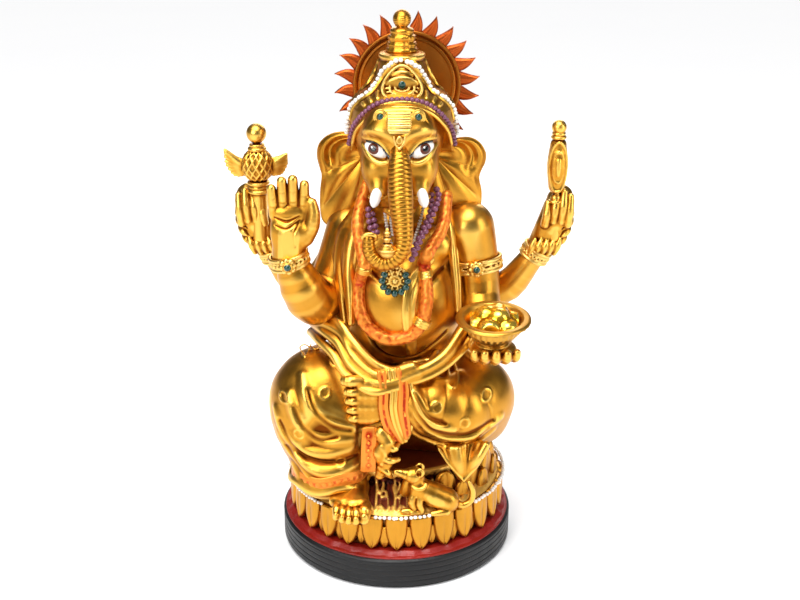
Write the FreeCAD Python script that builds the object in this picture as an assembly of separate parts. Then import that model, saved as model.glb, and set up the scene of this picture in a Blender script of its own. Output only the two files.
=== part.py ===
import FreeCAD, Part
import math
import os
from FreeCAD import Matrix, Rotation, Vector

# Seated four-armed elephant-headed idol on a double lotus base: one cast-resin statue put together
# from separately cast, painted and glued pieces.  Millimetres, +Z up, the figure faces -Y, and the
# origin is the centre of the underside.  "right" and "left" are the figure's own sides: right is -X.

# ---- base -------------------------------------------------------------------------------------
pad_thickness = 1.2
pad_inset = 2.0
plinth_radius = 66.5
plinth_height = 17.0
plinth_edge_round = 1.2
red_disc_height = 3.0
red_disc_inset = 1.0
lower_tier_height = 20.0
lower_drum_inset = 8.5
lower_petal_count = 28
lower_petal_gap = 0.5
lower_petal_thickness = 5.5
lower_petal_rise = 1.8
small_petal_height = 7.0
small_petal_width = 5.2
small_petal_thickness = 2.6
pearl_radius = 1.15
pearl_gap = 0.12
upper_tier_height = 17.0
upper_drum_half_width = 50.0
upper_drum_half_depth = 41.0
upper_petal_count = 16
upper_petal_width = 17.0
upper_petal_thickness = 3.2
upper_petal_lean = 16.0
upper_petal_overshoot = 4.0
upper_petal_sink = 1.2
leg_gap_from = 198.0
leg_gap_to = 262.0

# ---- mouse ------------------------------------------------------------------------------------
mouse_spot = Vector(18.0, -52.5, 0.0)
mouse_body = ((Vector(-6, 0, 14), 5.2), (Vector(2, 0, 9.5), 6.0), (Vector(10, 0, 6.0), 6.4))
mouse_haunch = ((Vector(11, -2.0, 6.5), 6.0), (Vector(6, -3.0, 2.0), 2.4))
mouse_neck = ((Vector(-6, 0, 14), 5.2), (Vector(-7, 0, 21.5), 4.6))
mouse_snout = ((Vector(-7, 0, 21.5), 4.6), (Vector(-12, -1, 22.5), 3.8), (Vector(-19, -2, 25), 1.4))
mouse_fore_leg = ((Vector(-8, -2, 12), 2.4), (Vector(-7, -3.5, 2.2), 1.9), (Vector(-15, -4, 2.2), 1.7))
mouse_tail = (
    (Vector(12, 0, 6), 2.2), (Vector(18, 2, 2), 1.8), (Vector(22.5, 3, 5), 1.8), (Vector(23.5, 3, 10.6), 1.7),
    (Vector(21.5, 3, 16), 1.5),
)
mouse_right_ear = ((Vector(-5.5, -4.0, 26.0), 2.4), (Vector(-5.5, -4.0, 27.5), 2.4))
mouse_left_ear = ((Vector(-5.5, 2.6, 26.0), 2.4), (Vector(-5.5, 2.6, 27.5), 2.4))

# ---- lower body -------------------------------------------------------------------------------
hips_half = Vector(48.0, 33.0, 31.0)
hips_offset = Vector(2.0, 13.0, 21.0)
right_leg_route = (
    (Vector(-10, 2, 34), 22.0),
    (Vector(-30, -12, 38), 28.0),
    (Vector(-41, -22, 36), 28.5),
    (Vector(-41, -32, 24), 26.0),
    (Vector(-38, -37, 11), 22.5),
    (Vector(-36, -38, 0), 20.5),
)
left_leg_route = (
    (Vector(12, 6, 34), 20.0),
    (Vector(30, -4, 36), 25.0),
    (Vector(43, -16, 33), 23.0),
    (Vector(33, -32, 33), 21.0),
    (Vector(18, -41, 37), 17.0),
    (Vector(7, -45, 41), 13.0),
)
hem_band_height = 6.0
hem_band_thickness = 1.4
hem_band_rise = 3.0
ankle_band_width = 4.2
ankle_band_thickness = 1.3
ankle_band_at = (0.80, 0.93)
right_foot_length = 31.0
right_foot_width = 20.0
right_foot_height = 10.0
right_foot_bars = ((0.72, 0.50), (0.72, 0.52), (0.68, 0.50), (0.62, 0.46))
right_toes = ((9.5, 1.3), (8.5, 1.0), (8.0, 1.0), (7.0, 0.95), (5.5, 0.9))
right_toe_slope = -0.24
toe_radius = 2.3
ankle_offset = Vector(9.5, -4.5, 0.0)
ankle_radius = 9.5
sole_offset_x = 3.5
left_foot_length = 22.0
left_foot_width = 28.0
left_foot_depth = 9.0
left_foot_bars = (0.48, 0.50, 0.50, 0.46)
left_toes = ((9.0, 1.25), (8.0, 1.05), (7.5, 1.0), (6.8, 1.0), (5.8, 0.95))
left_foot_offset = Vector(0.0, -3.0, 4.0)
pleat_route = ((Vector(-9, -49, 26), 5.0), (Vector(-9, -49.5, 19), 6.5), (Vector(-10, -49, 12), 4.0))
cloth_tail_outline = ((24, 17), (46, 20), (44, 9), (36.5, 0), (27, 8))
cloth_tail_front = -46.0
cloth_tail_thickness = 3.0
hanging_band_width = 6.5
hanging_band_thickness = 9.0
hanging_band_offset = Vector(20.5, -13.0, 8.5)
hanging_band_length = 25.5
hanging_band_lean = -2.5

# ---- trunk of the body --------------------------------------------------------------------------
belly_half = Vector(30.0, 33.0, 35.0)
belly_rise = 93.0
belly_offset_x = 2.5
belly_offset_y = -9.0
chest_half = Vector(36.0, 21.0, 20.0)
chest_rise = 33.0
chest_offset_x = 1.5
chest_offset_y = 13.0
waist_half = Vector(34.0, 30.0, 24.0)
waist_offset = Vector(0.0, 8.0, -24.0)
waist_core_radius = 22.0
neck_radius = 17.0
neck_rise = 16.0
garland_radius = 4.4
garland_loop = (
    (-17, 50), (-19, 40), (-21, 27), (-22, 12), (-19, -2), (-11, -13), (0, -17),
    (11, -13), (18, -2), (21, 12), (24, 27), (25, 40), (24, 50),
)
mala_bead_radius = 1.9
chain_bead_radius = 1.0
pendant_radius = 7.6
pendant_thickness = 3.0
pendant_at = (-1.5, 18.0)
stone_radius = 1.7
stone_height = 1.2
stone_count = 9
mala_strands = (
    ((-13, 52), (-14.5, 42), (-12.5, 30), (-7, 24)),
    ((19.5, 52), (18.5, 42), (13.5, 31), (5, 24)),
)
chain_strands = (((-9, 46), (-7.4, 38), (-4.5, 30)), ((12, 46), (9.8, 38), (6, 30)))
string_gap = 0.12
sash_radius = 5.5
sash_line = ((-1.02, -20.0), (-0.7, -25.0), (-0.3, -29.0), (0.15, -30.0), (0.6, -26.0), (0.95, -19.0))
chest_sash_radius = 4.2
chest_sash_line = ((20, 40), (12, 25), (6, 8), (4, -8), (6, -22))
shawl_radius = 6.5
shawl_step = 0.65
right_shawl_line = ((-3, 44), (-9, 30), (-8, 8), (-3, -14), (0, -30))
left_shawl_line = ((2, 44), (8, 30), (12, 6), (10, -12), (4, -24))

# ---- head -------------------------------------------------------------------------------------
head_rise = 86.0
head_half = Vector(22.5, 23.0, 27.0)
head_offset_x = -0.5
head_offset_y = 2.0
brow_offset = Vector(0.0, -6.0, 4.0)
cheek_offset = Vector(0.0, -16.0, -17.0)
chin_offset = Vector(0.0, -20.0, -29.0)
muzzle_radius = 13.5
trunk_route = (
    (Vector(0, -22, 2), 7.5), (Vector(0.2, -31, -10), 7.2), (Vector(0.8, -36.5, -24), 6.2),
    (Vector(1.8, -39.5, -37), 5.0), (Vector(2, -41, -45), 4.3), (Vector(-2, -41.5, -53), 3.8),
    (Vector(-8.5, -41.5, -56), 3.4), (Vector(-14, -41.2, -51), 3.1), (Vector(-15, -41, -43.5), 2.9),
)
ear_thickness = 5.0
ear_splay = 14.0
ear_root = Vector(19.5, 2.0, -10.0)
right_ear_outline = (
    (0, 5), (8, 12), (14, 12.6), (20, 10), (24, 5), (24.6, -1), (23.2, -8), (23.6, -20), (23, -31), (20, -38),
    (10, -36), (2, -28), (-2, -12),
)
left_ear_outline = (
    (0, 4), (8, 8.6), (15, 9.4), (22, 7), (26.4, 1), (26, -6), (24, -12), (25.4, -20), (25, -28), (22, -34),
    (12, -33), (3, -27), (-2, -12),
)
tusk_length = 10.0
tusk_radius = 2.85
tusk_root = Vector(11.2, -26.5, -19.0)
tusk_flare = 2.4
tusk_reach = 5.0
eye_half = Vector(5.6, 3.2, 3.7)
pot_radius = 4.0
pot_neck_radius = 2.4
pot_knob_radius = 1.5
pot_offset = Vector(-6.6, -43.5, -47.5)
tilak_width = 11.5
tilak_height = 8.6
tilak_thickness = 2.2
tilak_rise = 14.0
eye_spread = 11.2
eye_drop = 3.0
eye_turn = 22.0
brow_stud_radius = 2.1
brow_stud_proud = 1.4
brow_stud_spread = 9.4
brow_stud_rise = 2.2

# ---- crown and halo -----------------------------------------------------------------------------
crown_profile = (
    (27.4, -14.0), (27.9, 0.0), (27.6, 6.0), (26.1, 12.0), (24.4, 16.0), (21.8, 19.0), (17.6, 21.8),
    (15.2, 24.5), (13.4, 28.0), (12.2, 32.0), (9.6, 39.4),
)
crown_rise = 4.0
crown_offset = Vector(0.8, 7.0, 0.0)
crown_rim_tilt = 38.0
crown_rim_back = 7.0
finial_profile = (
    (8.2, 0.0), (8.4, 1.6), (7.2, 2.6), (7.6, 4.2), (6.2, 5.2), (7.0, 6.4), (7.0, 7.8),
    (5.6, 8.6), (6.0, 10.2), (4.4, 11.2), (3.4, 13.2),
)
finial_ball_radius = 4.3
ball_sink = 0.8
medallion_outline = (
    (0.0, 9.5), (4.7, 2.9), (7.5, -4.3), (4.5, -9.5), (-4.5, -9.5), (-7.5, -4.3), (-4.7, 2.9),
)
medallion_depth = 18.0
medallion_thickness = 3.0
medallion_rise = 25.0
medallion_lean = 30.0
crown_gem_radius = 2.2
purple_bead_radius = 1.55
purple_band_rise = 2.2
purple_band_reach = 90
pearl_band_rise = ((88, 6.0), (76, 7.5), (68, 11.0))
pearl_arch = ((60, 18.2), (56, 22.0), (52, 28.5), (38, 33.8), (22, 36.3), (5, 37.5))
bead_clearance = 0.15
bead_overlap_allowed = 1.0
rim_steps = 12
halo_disc_radius = 29.0
halo_tip_radius = 39.4
halo_thickness = 3.6
halo_rim_width = 1.6
halo_rim_proud = 1.2
halo_ray_count = 24
halo_ray_thickness = 2.6
halo_ray_shape = ((0.0, -0.97), (0.55, -0.42), (1.0, 0.1), (0.5, 0.55), (0.0, 0.97), (-0.1, 0.0))
halo_offset = Vector(2.8, 21.0, 17.3)

# ---- arms -------------------------------------------------------------------------------------
shoulder_spots = {
    "front_right_arm": (Vector(-0.86, -6, 2), 12.0), "front_left_arm": (Vector(0.92, -6, 4), 13.0),
    "rear_right_arm": (Vector(-0.8, 6, 0), 10.5), "rear_left_arm": (Vector(0.8, 6, 0), 10.5),
}
arm_routes = {
    "front_right_arm": (
        (Vector(-37, -2, 5), 12.5), (Vector(-46, -15, 1), 12.6), (Vector(-52, -22, 12), 11.6),
        (Vector(-57, -24, 25), 9.0),
    ),
    "front_left_arm": (
        (Vector(41.5, 6, 14), 12.0), (Vector(42.5, 0, -3), 11.6), (Vector(43.5, -14, -12), 10.5),
        (Vector(45.5, -28, -17), 8.6),
    ),
    "rear_right_arm": ((Vector(-48, 20, -2), 9.2), (Vector(-60, 19, 2), 8.6), (Vector(-70, 15, 19), 6.2)),
    "rear_left_arm": ((Vector(48, 22, -2), 9.6), (Vector(60, 20, -2), 8.8), (Vector(74, 16, 18), 6.4)),
}
finger_radius = 2.35
open_palm_half = Vector(11.5, 5.2, 13.5)
open_palm_rise = 17.0
open_fingers = ((13.5, 0.95), (18.0, 1.0), (19.5, 1.05), (16.5, 1.0))
open_finger_spread = 5.4
open_thumb_root = Vector(10.0, 0.0, -5.0)
open_thumb_reach = Vector(1.5, -1.5, 13.0)
cupped_palm = (
    (Vector(2, 0, 6), 7.0), (Vector(8, 0, 17), 8.6), (Vector(12, 0, 26), 8.0), (Vector(12, 0, 31), 6.0),
)
cupped_finger_spots = ((5.0, -7.0, 22.0), (9.5, -8.0, 24.0), (14.0, -7.5, 25.0), (17.5, -5.0, 24.0))
cupped_finger_length = 13.0
bracelet_height = 6.5
bracelet_thickness = 1.5
bracelet_at = 0.93
armlet_thickness = 1.6
armlet_at = 0.26
mace_profile = (
    (4.6, 0.0), (4.6, 27.0), (6.4, 29.0), (6.4, 32.0), (7.4, 34.0), (8.3, 42.0), (7.6, 47.0),
    (4.8, 51.0), (5.2, 53.0), (3.4, 55.0),
)
mace_ball_radius = 5.4
mace_right_leaf = ((-5.0, 38.0), (-12.3, 35.5), (-16.1, 40.7), (-17.0, 49.7), (-12.3, 45.2), (-5.0, 44.0))
mace_left_leaf = ((5.0, 38.0), (12.9, 36.8), (16.1, 43.3), (15.7, 46.5), (8.4, 46.5), (5.0, 44.0))
mace_leaf_thickness = 2.8
mace_grip = Vector(-6.2, -5.5, 9.0)
goad_profile = (
    (3.4, 0.0), (3.4, 22.0), (4.6, 26.0), (6.0, 34.0), (6.0, 46.0), (4.6, 54.0), (3.4, 57.0), (3.4, 59.6),
)
goad_ball_radius = 3.9
goad_grip = Vector(9.1, -5.5, 9.0)
bowl_rim_radius = 19.5
bowl_foot_radius = 9.0
bowl_depth = 16.0
bowl_lip = 5.5
bowl_wall = 2.0
bowl_tilt = 6.0
bowl_offset = Vector(1.5, -13.0, 4.0)
sweet_radius = 5.2
sweet_layers = ((5, 8.6, 0.0), (1, 0.0, 0.6), (4, 5.0, 5.2), (1, 0.0, 9.6))
bowl_palm_half = Vector(11.0, 12.0, 5.0)
bowl_palm_offset = Vector(-1.0, 3.0, -3.0)
bowl_finger_root = Vector(-7.0, -6.0, -2.5)
bowl_finger_step = Vector(5.4, 1.2, 0.0)
bowl_finger_reach = Vector(-1.0, -7.0, 5.0)
bowl_finger_turn = Vector(1.1, 1.0, 0.0)

least_taper = 0.01
far_off = 400.0

# ---- worked out from the sizes above ------------------------------------------------------------
plinth_top = pad_thickness + plinth_height
red_disc_top = plinth_top + red_disc_height
ledge_z = red_disc_top + lower_tier_height
seat_z = ledge_z + upper_tier_height
seat = Vector(0, 0, seat_z)
lower_drum_radius = plinth_radius - lower_drum_inset
lower_petal_reach = lower_drum_radius + lower_petal_thickness
belly = seat + Vector(belly_offset_x, belly_offset_y, belly_rise)
chest = belly + Vector(chest_offset_x, chest_offset_y, chest_rise)
head = belly + Vector(head_offset_x, head_offset_y, head_rise)
crown = head + crown_offset + Vector(0, 0, crown_rise)
crown_top = crown + Vector(0, 0, crown_profile[-1][1])

parts = {}


# ---- shapes -----------------------------------------------------------------------------------
def ellipsoid(centre, half, turn=None):
    """A sphere stretched to the three half sizes, turned by a Rotation, at centre."""
    stretch = Matrix()
    stretch.scale(half)
    solid = Part.makeSphere(1.0).transformGeometry(stretch)
    if turn:
        solid.rotate(Vector(), turn.Axis, math.degrees(turn.Angle))
    solid.translate(centre)
    return solid


def limb(route):
    """A rounded solid along a route of (point, radius): balls joined by tapered bars."""
    solids = []
    for (start, r1), (end, r2) in zip(route, route[1:]):
        along = end - start
        if abs(r1 - r2) < least_taper:
            bar = Part.makeCylinder(r1, along.Length, start, along)
        else:
            bar = Part.makeCone(r1, r2, along.Length, start, along)
        solids.append(bar)
    solids += [Part.makeSphere(radius, point) for point, radius in route]
    return fused(*solids)


def capsule(start, end, radius):
    """A round bar with round ends, such as a finger."""
    along = end - start
    bar = Part.makeCylinder(radius, along.Length, start, along)
    return bar.fuse(Part.makeSphere(radius, start)).fuse(Part.makeSphere(radius, end))


def turned(profile, centre):
    """A solid of revolution about the vertical through centre, from (radius, height) points."""
    points = [Vector(0, 0, profile[0][1])]
    points += [Vector(r, 0, z) for r, z in profile]
    points += [Vector(0, 0, profile[-1][1]), points[0]]
    solid = Part.Face(Part.makePolygon(points)).revolve(Vector(), Vector(0, 0, 1), 360)
    solid.translate(centre)
    return solid


def smooth_face(points):
    """A flat face inside a smooth closed outline through the points."""
    outline = Part.BSplineCurve()
    outline.interpolate(Points=points, PeriodicFlag=True)
    return Part.Face(Part.Wire(outline.toShape()))


def plate(outline, front_y, thickness):
    """A flat plate with its smooth (x, z) outline facing -Y at front_y."""
    face = smooth_face([Vector(x, front_y, z) for x, z in outline])
    return face.extrude(Vector(0, thickness, 0))


def spaced(points, pitch):
    """Points a pitch apart along the smooth line through the given points."""
    line = Part.BSplineCurve()
    line.interpolate(points)
    count = max(2, round(line.length() / pitch) + 1)
    return line.discretize(Number=count)


def beads(centres, radius):
    """A row of separate round beads."""
    return Part.makeCompound([Part.makeSphere(radius, c) for c in centres])


def largest(shape):
    """The biggest solid that a cut leaves."""
    return max(shape.Solids, key=lambda s: s.Volume)


def seated(solid, *names):
    """The solid less the pieces it is glued against, so that their faces meet."""
    for name in names:
        for other in parts[name].Solids:
            if other.BoundBox.intersect(solid.BoundBox):
                solid = largest(solid.cut(other))
    return solid


def above(solid, height):
    """The part of a solid above a height."""
    corner = Vector(-far_off / 2, -far_off / 2, height)
    return largest(solid.common(Part.makeBox(far_off, far_off, far_off, corner)))


def moved(base, route):
    """A route of (point, radius) carried to a base point."""
    return tuple((base + point, radius) for point, radius in route)


def fused(*solids):
    """One casting made of several overlapping solids."""
    return largest(solids[0].fuse(list(solids[1:])))


def front_of(ball, half, x, z):
    """The y of the front surface of an ellipsoid at x and z, or its middle where it misses."""
    inside = 1 - ((x - ball.x) / half.x) ** 2 - ((z - ball.z) / half.z) ** 2
    return ball.y - half.y * math.sqrt(max(inside, 0.0))


def front_face(name, x, z):
    """The y where a line along Y at x and z first meets a piece."""
    line = Part.makeLine(Vector(x, -far_off, z), Vector(x, far_off, z))
    return parts[name].common(line).BoundBox.YMin


def on_torso(x, z, lift):
    """A point on the front of the belly or chest, whichever is proud, with x and z from the belly."""
    x, z = belly.x + x, belly.z + z
    y = min(front_of(belly, belly_half, x, z), front_of(chest, chest_half, x, z))
    return Vector(x, y - lift, z)


def proud_of(spot, lift, *names):
    """The spot brought forward until it is a lift clear of the pieces behind it."""
    fronts = [front_face(name, spot.x, spot.z) - lift for name in names]
    return Vector(spot.x, min(spot.y, *fronts), spot.z)


def crown_radius(height):
    """The crown's radius at a height above its middle."""
    low = crown_profile[0]
    for high in crown_profile[1:]:
        if height <= high[1]:
            share = (height - low[1]) / (high[1] - low[1])
            return low[0] + (high[0] - low[0]) * share
        low = high
    return crown_profile[-1][0]


def on_crown(angle, height, lift):
    """A point on the crown, its angle in degrees from the front towards the figure's left."""
    reach = crown_radius(height) + lift
    a = math.radians(angle)
    return crown + Vector(reach * math.sin(a), -reach * math.cos(a), height)


# ---- base -------------------------------------------------------------------------------------
def disc(radius, low, height):
    """A round disc standing on the height low."""
    return Part.makeCylinder(radius, height, Vector(0, 0, low))


def build_base():
    parts["base_pad"] = disc(plinth_radius - pad_inset, 0, pad_thickness)
    plinth = disc(plinth_radius, pad_thickness, plinth_height)
    rims = [e for e in plinth.Edges if len(e.Vertexes) == 1]
    parts["plinth"] = plinth.makeFillet(plinth_edge_round, rims)
    parts["red_base_disc"] = disc(plinth_radius - red_disc_inset, plinth_top, red_disc_height)
    parts["lower_drum"] = disc(lower_drum_radius, red_disc_top, lower_tier_height)


def lower_petal(width, height, thickness, top):
    """One hanging petal on the front of the lower drum, its point down."""
    half = width / 2
    points = [(-half, top), (-half * 0.96, top - height * 0.45), (-half * 0.5, top - height * 0.85)]
    outline = [Vector(x, 0, z) for x, z in points] + [Vector(0, 0, top - height)]
    outline += [Vector(-x, 0, z) for x, z in reversed(points)]
    curve = Part.BSplineCurve()
    curve.interpolate(outline)
    face = Part.Face(Part.Wire([curve.toShape(), Part.makeLine(outline[-1], outline[0])]))
    petal = face.extrude(Vector(0, -thickness, 0))
    petal.translate(Vector(0, -lower_drum_radius + 1.2, 0))
    return petal


def around(solid, count, offset=0.0):
    """Copies of a front-facing solid spaced evenly round the vertical axis."""
    copies = []
    for i in range(count):
        copy = solid.copy()
        copy.rotate(Vector(), Vector(0, 0, 1), 360.0 * (i + offset) / count)
        copies.append(copy)
    return Part.makeCompound(copies)


def build_lower_petals():
    pitch = 2 * math.pi * lower_drum_radius / lower_petal_count
    height = lower_tier_height - lower_petal_rise
    drum = parts["lower_drum"]
    big = lower_petal(pitch - lower_petal_gap - 1.0, height, lower_petal_thickness + 1.2, ledge_z)
    parts["lower_petals"] = around(largest(big.cut(drum)), lower_petal_count)
    small = lower_petal(
        small_petal_width, small_petal_height, small_petal_thickness + 1.2,
        red_disc_top + small_petal_height,
    )
    small = small.cut(drum)
    for turn in (0.0, 360.0 / lower_petal_count):
        neighbour = largest(big.cut(drum)).copy()
        neighbour.rotate(Vector(), Vector(0, 0, 1), turn - 180.0 / lower_petal_count)
        small = small.cut(neighbour)
    parts["small_petals"] = around(largest(small), lower_petal_count, 0.5)
    ring = lower_petal_reach - pearl_radius
    count = int(2 * math.pi * ring / (2 * pearl_radius + pearl_gap))
    spots = [
        Vector(ring * math.sin(a), -ring * math.cos(a), ledge_z + pearl_radius)
        for a in (2 * math.pi * i / count for i in range(count))
    ]
    parts["base_pearls"] = beads(spots, pearl_radius)


def build_upper_tier():
    stretch = Matrix()
    stretch.scale(Vector(upper_drum_half_width, upper_drum_half_depth, upper_tier_height))
    drum = Part.makeCylinder(1.0, 1.0).transformGeometry(stretch)
    drum.translate(Vector(0, 0, ledge_z))
    parts["upper_drum"] = drum
    half = upper_petal_width / 2
    height = upper_tier_height + upper_petal_overshoot
    right_side = [(half * 0.62, 0.0), (half, height * 0.45), (half * 0.72, height * 0.8)]
    outline = [Vector(x, 0, z) for x, z in right_side] + [Vector(0, 0, height)]
    outline += [Vector(-x, 0, z) for x, z in reversed(right_side)]
    curve = Part.BSplineCurve()
    curve.interpolate(outline)
    face = Part.Face(Part.Wire([curve.toShape(), Part.makeLine(outline[-1], outline[0])]))
    blank = face.extrude(Vector(0, -upper_petal_thickness, 0))
    blank.rotate(Vector(), Vector(1, 0, 0), upper_petal_lean)
    petals = []
    for i in range(upper_petal_count):
        angle = 360.0 * (i + 0.5) / upper_petal_count
        if leg_gap_from < angle < leg_gap_to:
            continue
        a = math.radians(angle)
        spot = Vector(
            (upper_drum_half_width - upper_petal_sink) * math.cos(a),
            (upper_drum_half_depth - upper_petal_sink) * math.sin(a),
            ledge_z,
        )
        facing = math.degrees(
            math.atan2(math.sin(a) / upper_drum_half_depth, math.cos(a) / upper_drum_half_width)
        )
        petal = blank.copy()
        petal.rotate(Vector(), Vector(0, 0, 1), facing + 90.0)
        petal.translate(spot)
        petals.append(largest(above(petal, ledge_z).cut(drum)))
    kept = []
    for petal in petals:
        for other in kept[-1:] + kept[:1]:
            petal = largest(petal.cut(other))
        kept.append(petal)
    parts["upper_petals"] = Part.makeCompound(kept)


# ---- legs, feet and their cloth -------------------------------------------------------------------
def build_legs():
    parts["hips_drape"] = above(ellipsoid(seat + hips_offset, hips_half), seat_z)
    clear = ("hips_drape", "upper_drum", "upper_petals")
    right = limb(moved(seat, right_leg_route))
    parts["right_leg_drape"] = seated(right, *clear, "lower_drum", "lower_petals")
    left = limb(moved(seat, left_leg_route))
    parts["left_leg_drape"] = seated(left, *clear, "right_leg_drape")


def band_round(route, share, width, thickness, *against):
    """A flat band round a lofted limb at a share of its route, which it fits closely."""
    points = [p for p, _ in route]
    place = share * (len(points) - 1)
    i = min(int(place), len(points) - 2)
    at = points[i] + (points[i + 1] - points[i]) * (place - i)
    radius = route[i][1] + (route[i + 1][1] - route[i][1]) * (place - i)
    axis = (points[i + 1] - points[i]).normalize()
    blank = Part.makeCylinder(radius + thickness, width, at - axis * (width / 2), axis)
    return seated(blank, *against)


def toes(start, step, forward, sizes):
    """Bars side by side, of (length, radius) each: start is the first one's root, step leads to the next."""
    return [
        capsule(start + step * i, start + step * i + forward * length, radius)
        for i, (length, radius) in enumerate(sizes)
    ]


def build_right_foot():
    hem_centre, hem_radius = moved(seat, right_leg_route)[-1]
    hem = Part.makeCylinder(
        hem_radius + hem_band_thickness, hem_band_height, hem_centre + Vector(0, 0, hem_band_rise)
    )
    parts["right_hem_band"] = seated(hem, "right_leg_drape", "upper_drum", "upper_petals", "hips_drape")
    length, width, height = right_foot_length, right_foot_width, right_foot_height
    ankle = Vector(hem_centre.x, hem_centre.y, ledge_z + height) + ankle_offset
    sole = ankle + Vector(sole_offset_x, -0.35 * length, -0.5 * height)
    bars = toes(
        sole + Vector(0.27 * width, 0.3 * length, 0), Vector(-0.18 * width, 0, 0), Vector(0, -1, 0),
        [(length * share, height * share_radius) for share, share_radius in right_foot_bars],
    )
    shin = limb((
        (ankle + Vector(0, 2, 1.2 * height), ankle_radius * 1.1),
        (ankle + Vector(0, 1, 0.4 * height), ankle_radius * 0.95),
        (ankle + Vector(0, 2, -0.4 * height), ankle_radius * 0.6),
    ))
    digits = toes(
        sole + Vector(0.36 * width, -0.32 * length, -0.1 * height), Vector(-0.19 * width, 0.03 * length, 0),
        Vector(-0.05, -1, right_toe_slope).normalize(),
        [(reach, toe_radius * share) for reach, share in right_toes],
    )
    parts["right_foot"] = seated(
        fused(*bars, shin, *digits), "lower_drum", "lower_petals", "right_hem_band", "right_leg_drape",
        "upper_drum", "upper_petals",
    )


def build_left_foot():
    shin_end, shin_radius = moved(seat, left_leg_route)[-1]
    length, width = left_foot_length, left_foot_width
    middle = shin_end + Vector(-shin_radius - 0.22 * length, 0, 0) + left_foot_offset
    bars = toes(
        middle + Vector(0.42 * length, 0, 0.32 * width), Vector(0, 0, -0.21 * width), Vector(-1, 0, 0),
        [(0.75 * length, left_foot_depth * share) for share in left_foot_bars],
    )
    digits = toes(
        middle + Vector(-0.3 * length, 0, 0.38 * width), Vector(0.02 * length, 0, -0.19 * width),
        Vector(-1, -0.05, 0), [(reach, toe_radius * share) for reach, share in left_toes],
    )
    parts["left_foot"] = seated(
        fused(*bars, *digits), "left_leg_drape", "right_leg_drape", "hips_drape",
    )


def build_leg_cloth():
    against = ("left_leg_drape", "right_leg_drape", "hips_drape", "left_foot")
    route = moved(seat, left_leg_route)
    bands = [
        band_round(route, share, ankle_band_width, ankle_band_thickness, *against)
        for share in ankle_band_at
    ]
    parts["ankle_bands"] = Part.makeCompound(bands)
    low = moved(seat, right_leg_route)[-1][0] + hanging_band_offset
    top = low + Vector(hanging_band_lean, 0, hanging_band_length)
    across = Vector(hanging_band_width / 2, 0, 0)
    points = [top - across, top + across, low + across, low - across]
    strip = Part.Face(Part.makePolygon(points + points[:1])).extrude(Vector(0, hanging_band_thickness, 0))
    parts["hanging_border_band"] = seated(
        strip, "right_leg_drape", "left_foot", "left_leg_drape", "right_hem_band", "right_foot",
        "ankle_bands",
    )
    parts["front_pleat"] = seated(
        limb(moved(seat, pleat_route)), "hanging_border_band", "left_foot", "left_leg_drape",
        "right_leg_drape", "ankle_bands",
    )
    outline = [(x, seat_z + z) for x, z in cloth_tail_outline]
    parts["cloth_tail"] = seated(
        plate(outline, cloth_tail_front, cloth_tail_thickness), "left_leg_drape", "upper_drum",
        "upper_petals", "hips_drape",
    )


# ---- body -------------------------------------------------------------------------------------
def build_torso():
    collar = chest + Vector(0, -2, 0)
    neck = limb((
        (collar, neck_radius * 1.35), (collar + Vector(0, 0, neck_rise), neck_radius),
        (head + Vector(0, 4, -14), neck_radius * 0.95),
    ))
    waist = ellipsoid(belly + waist_offset, waist_half)
    core = limb(((belly + waist_offset, waist_core_radius), (seat + hips_offset, waist_core_radius)))
    body = fused(ellipsoid(belly, belly_half), ellipsoid(chest, chest_half), neck, waist, core)
    parts["torso"] = seated(body, "hips_drape", "right_leg_drape", "left_leg_drape")


def build_dress():
    route = []
    for share, height in sash_line:
        x, z = belly.x + share * belly_half.x, belly.z + height
        route.append((Vector(x, front_face("torso", x, z), z), sash_radius))
    parts["waist_sash"] = seated(
        limb(route), "torso", "right_leg_drape", "left_leg_drape", "hips_drape", "left_foot",
        "ankle_bands",
    )
    route = [(on_torso(x, z, 0.1 * chest_sash_radius), chest_sash_radius) for x, z in chest_sash_line]
    parts["chest_sash"] = seated(limb(route), "torso", "waist_sash")
    route = [(on_torso(x, z, 0.45 * garland_radius), garland_radius) for x, z in garland_loop]
    parts["garland"] = seated(limb(route), "torso", "chest_sash")
    ends = []
    for side, line in ((-1, right_shawl_line), (1, left_shawl_line)):
        x = chest.x + side * chest_half.x
        route = [
            (Vector(x + dx, chest.y + 2 - i, belly.z + dz), shawl_radius * 1.1 - shawl_step * i)
            for i, (dx, dz) in enumerate(line)
        ]
        ends.append(seated(
            limb(route), "torso", "waist_sash", "hips_drape", "garland", "right_leg_drape",
            "left_leg_drape",
        ))
    parts["shawl_ends"] = Part.makeCompound(ends)


def build_jewels():
    lift = mala_bead_radius + 0.35 * garland_radius
    spots = []
    for strand in mala_strands:
        line = [proud_of(on_torso(x, z, lift), lift, "torso", "chest_sash") for x, z in strand]
        spots += spaced(line, 2 * mala_bead_radius + string_gap)
    parts["purple_mala"] = beads(spots, mala_bead_radius)
    back = Vector(0, 1, 0)
    face = on_torso(*pendant_at, pendant_thickness)
    plaque = Part.makeCylinder(pendant_radius, 2 * pendant_thickness, face, back)
    parts["pendant"] = seated(plaque, "torso", "chest_sash")
    reach = pendant_radius - 0.6 * stone_radius
    stones = []
    for i in range(stone_count):
        a = 2 * math.pi * i / stone_count
        spot = face + Vector(reach * math.cos(a), -stone_height, reach * math.sin(a))
        stones.append(Part.makeCylinder(stone_radius, stone_height, spot, back))
    parts["pendant_stones"] = Part.makeCompound(stones)
    chain = []
    lift = 2 * chain_bead_radius
    for strand in chain_strands:
        line = [proud_of(on_torso(x, z, lift), lift, "torso") for x, z in strand]
        chain += spaced(line, 2 * chain_bead_radius + string_gap)
    parts["silver_chains"] = beads(chain, chain_bead_radius)


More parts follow.
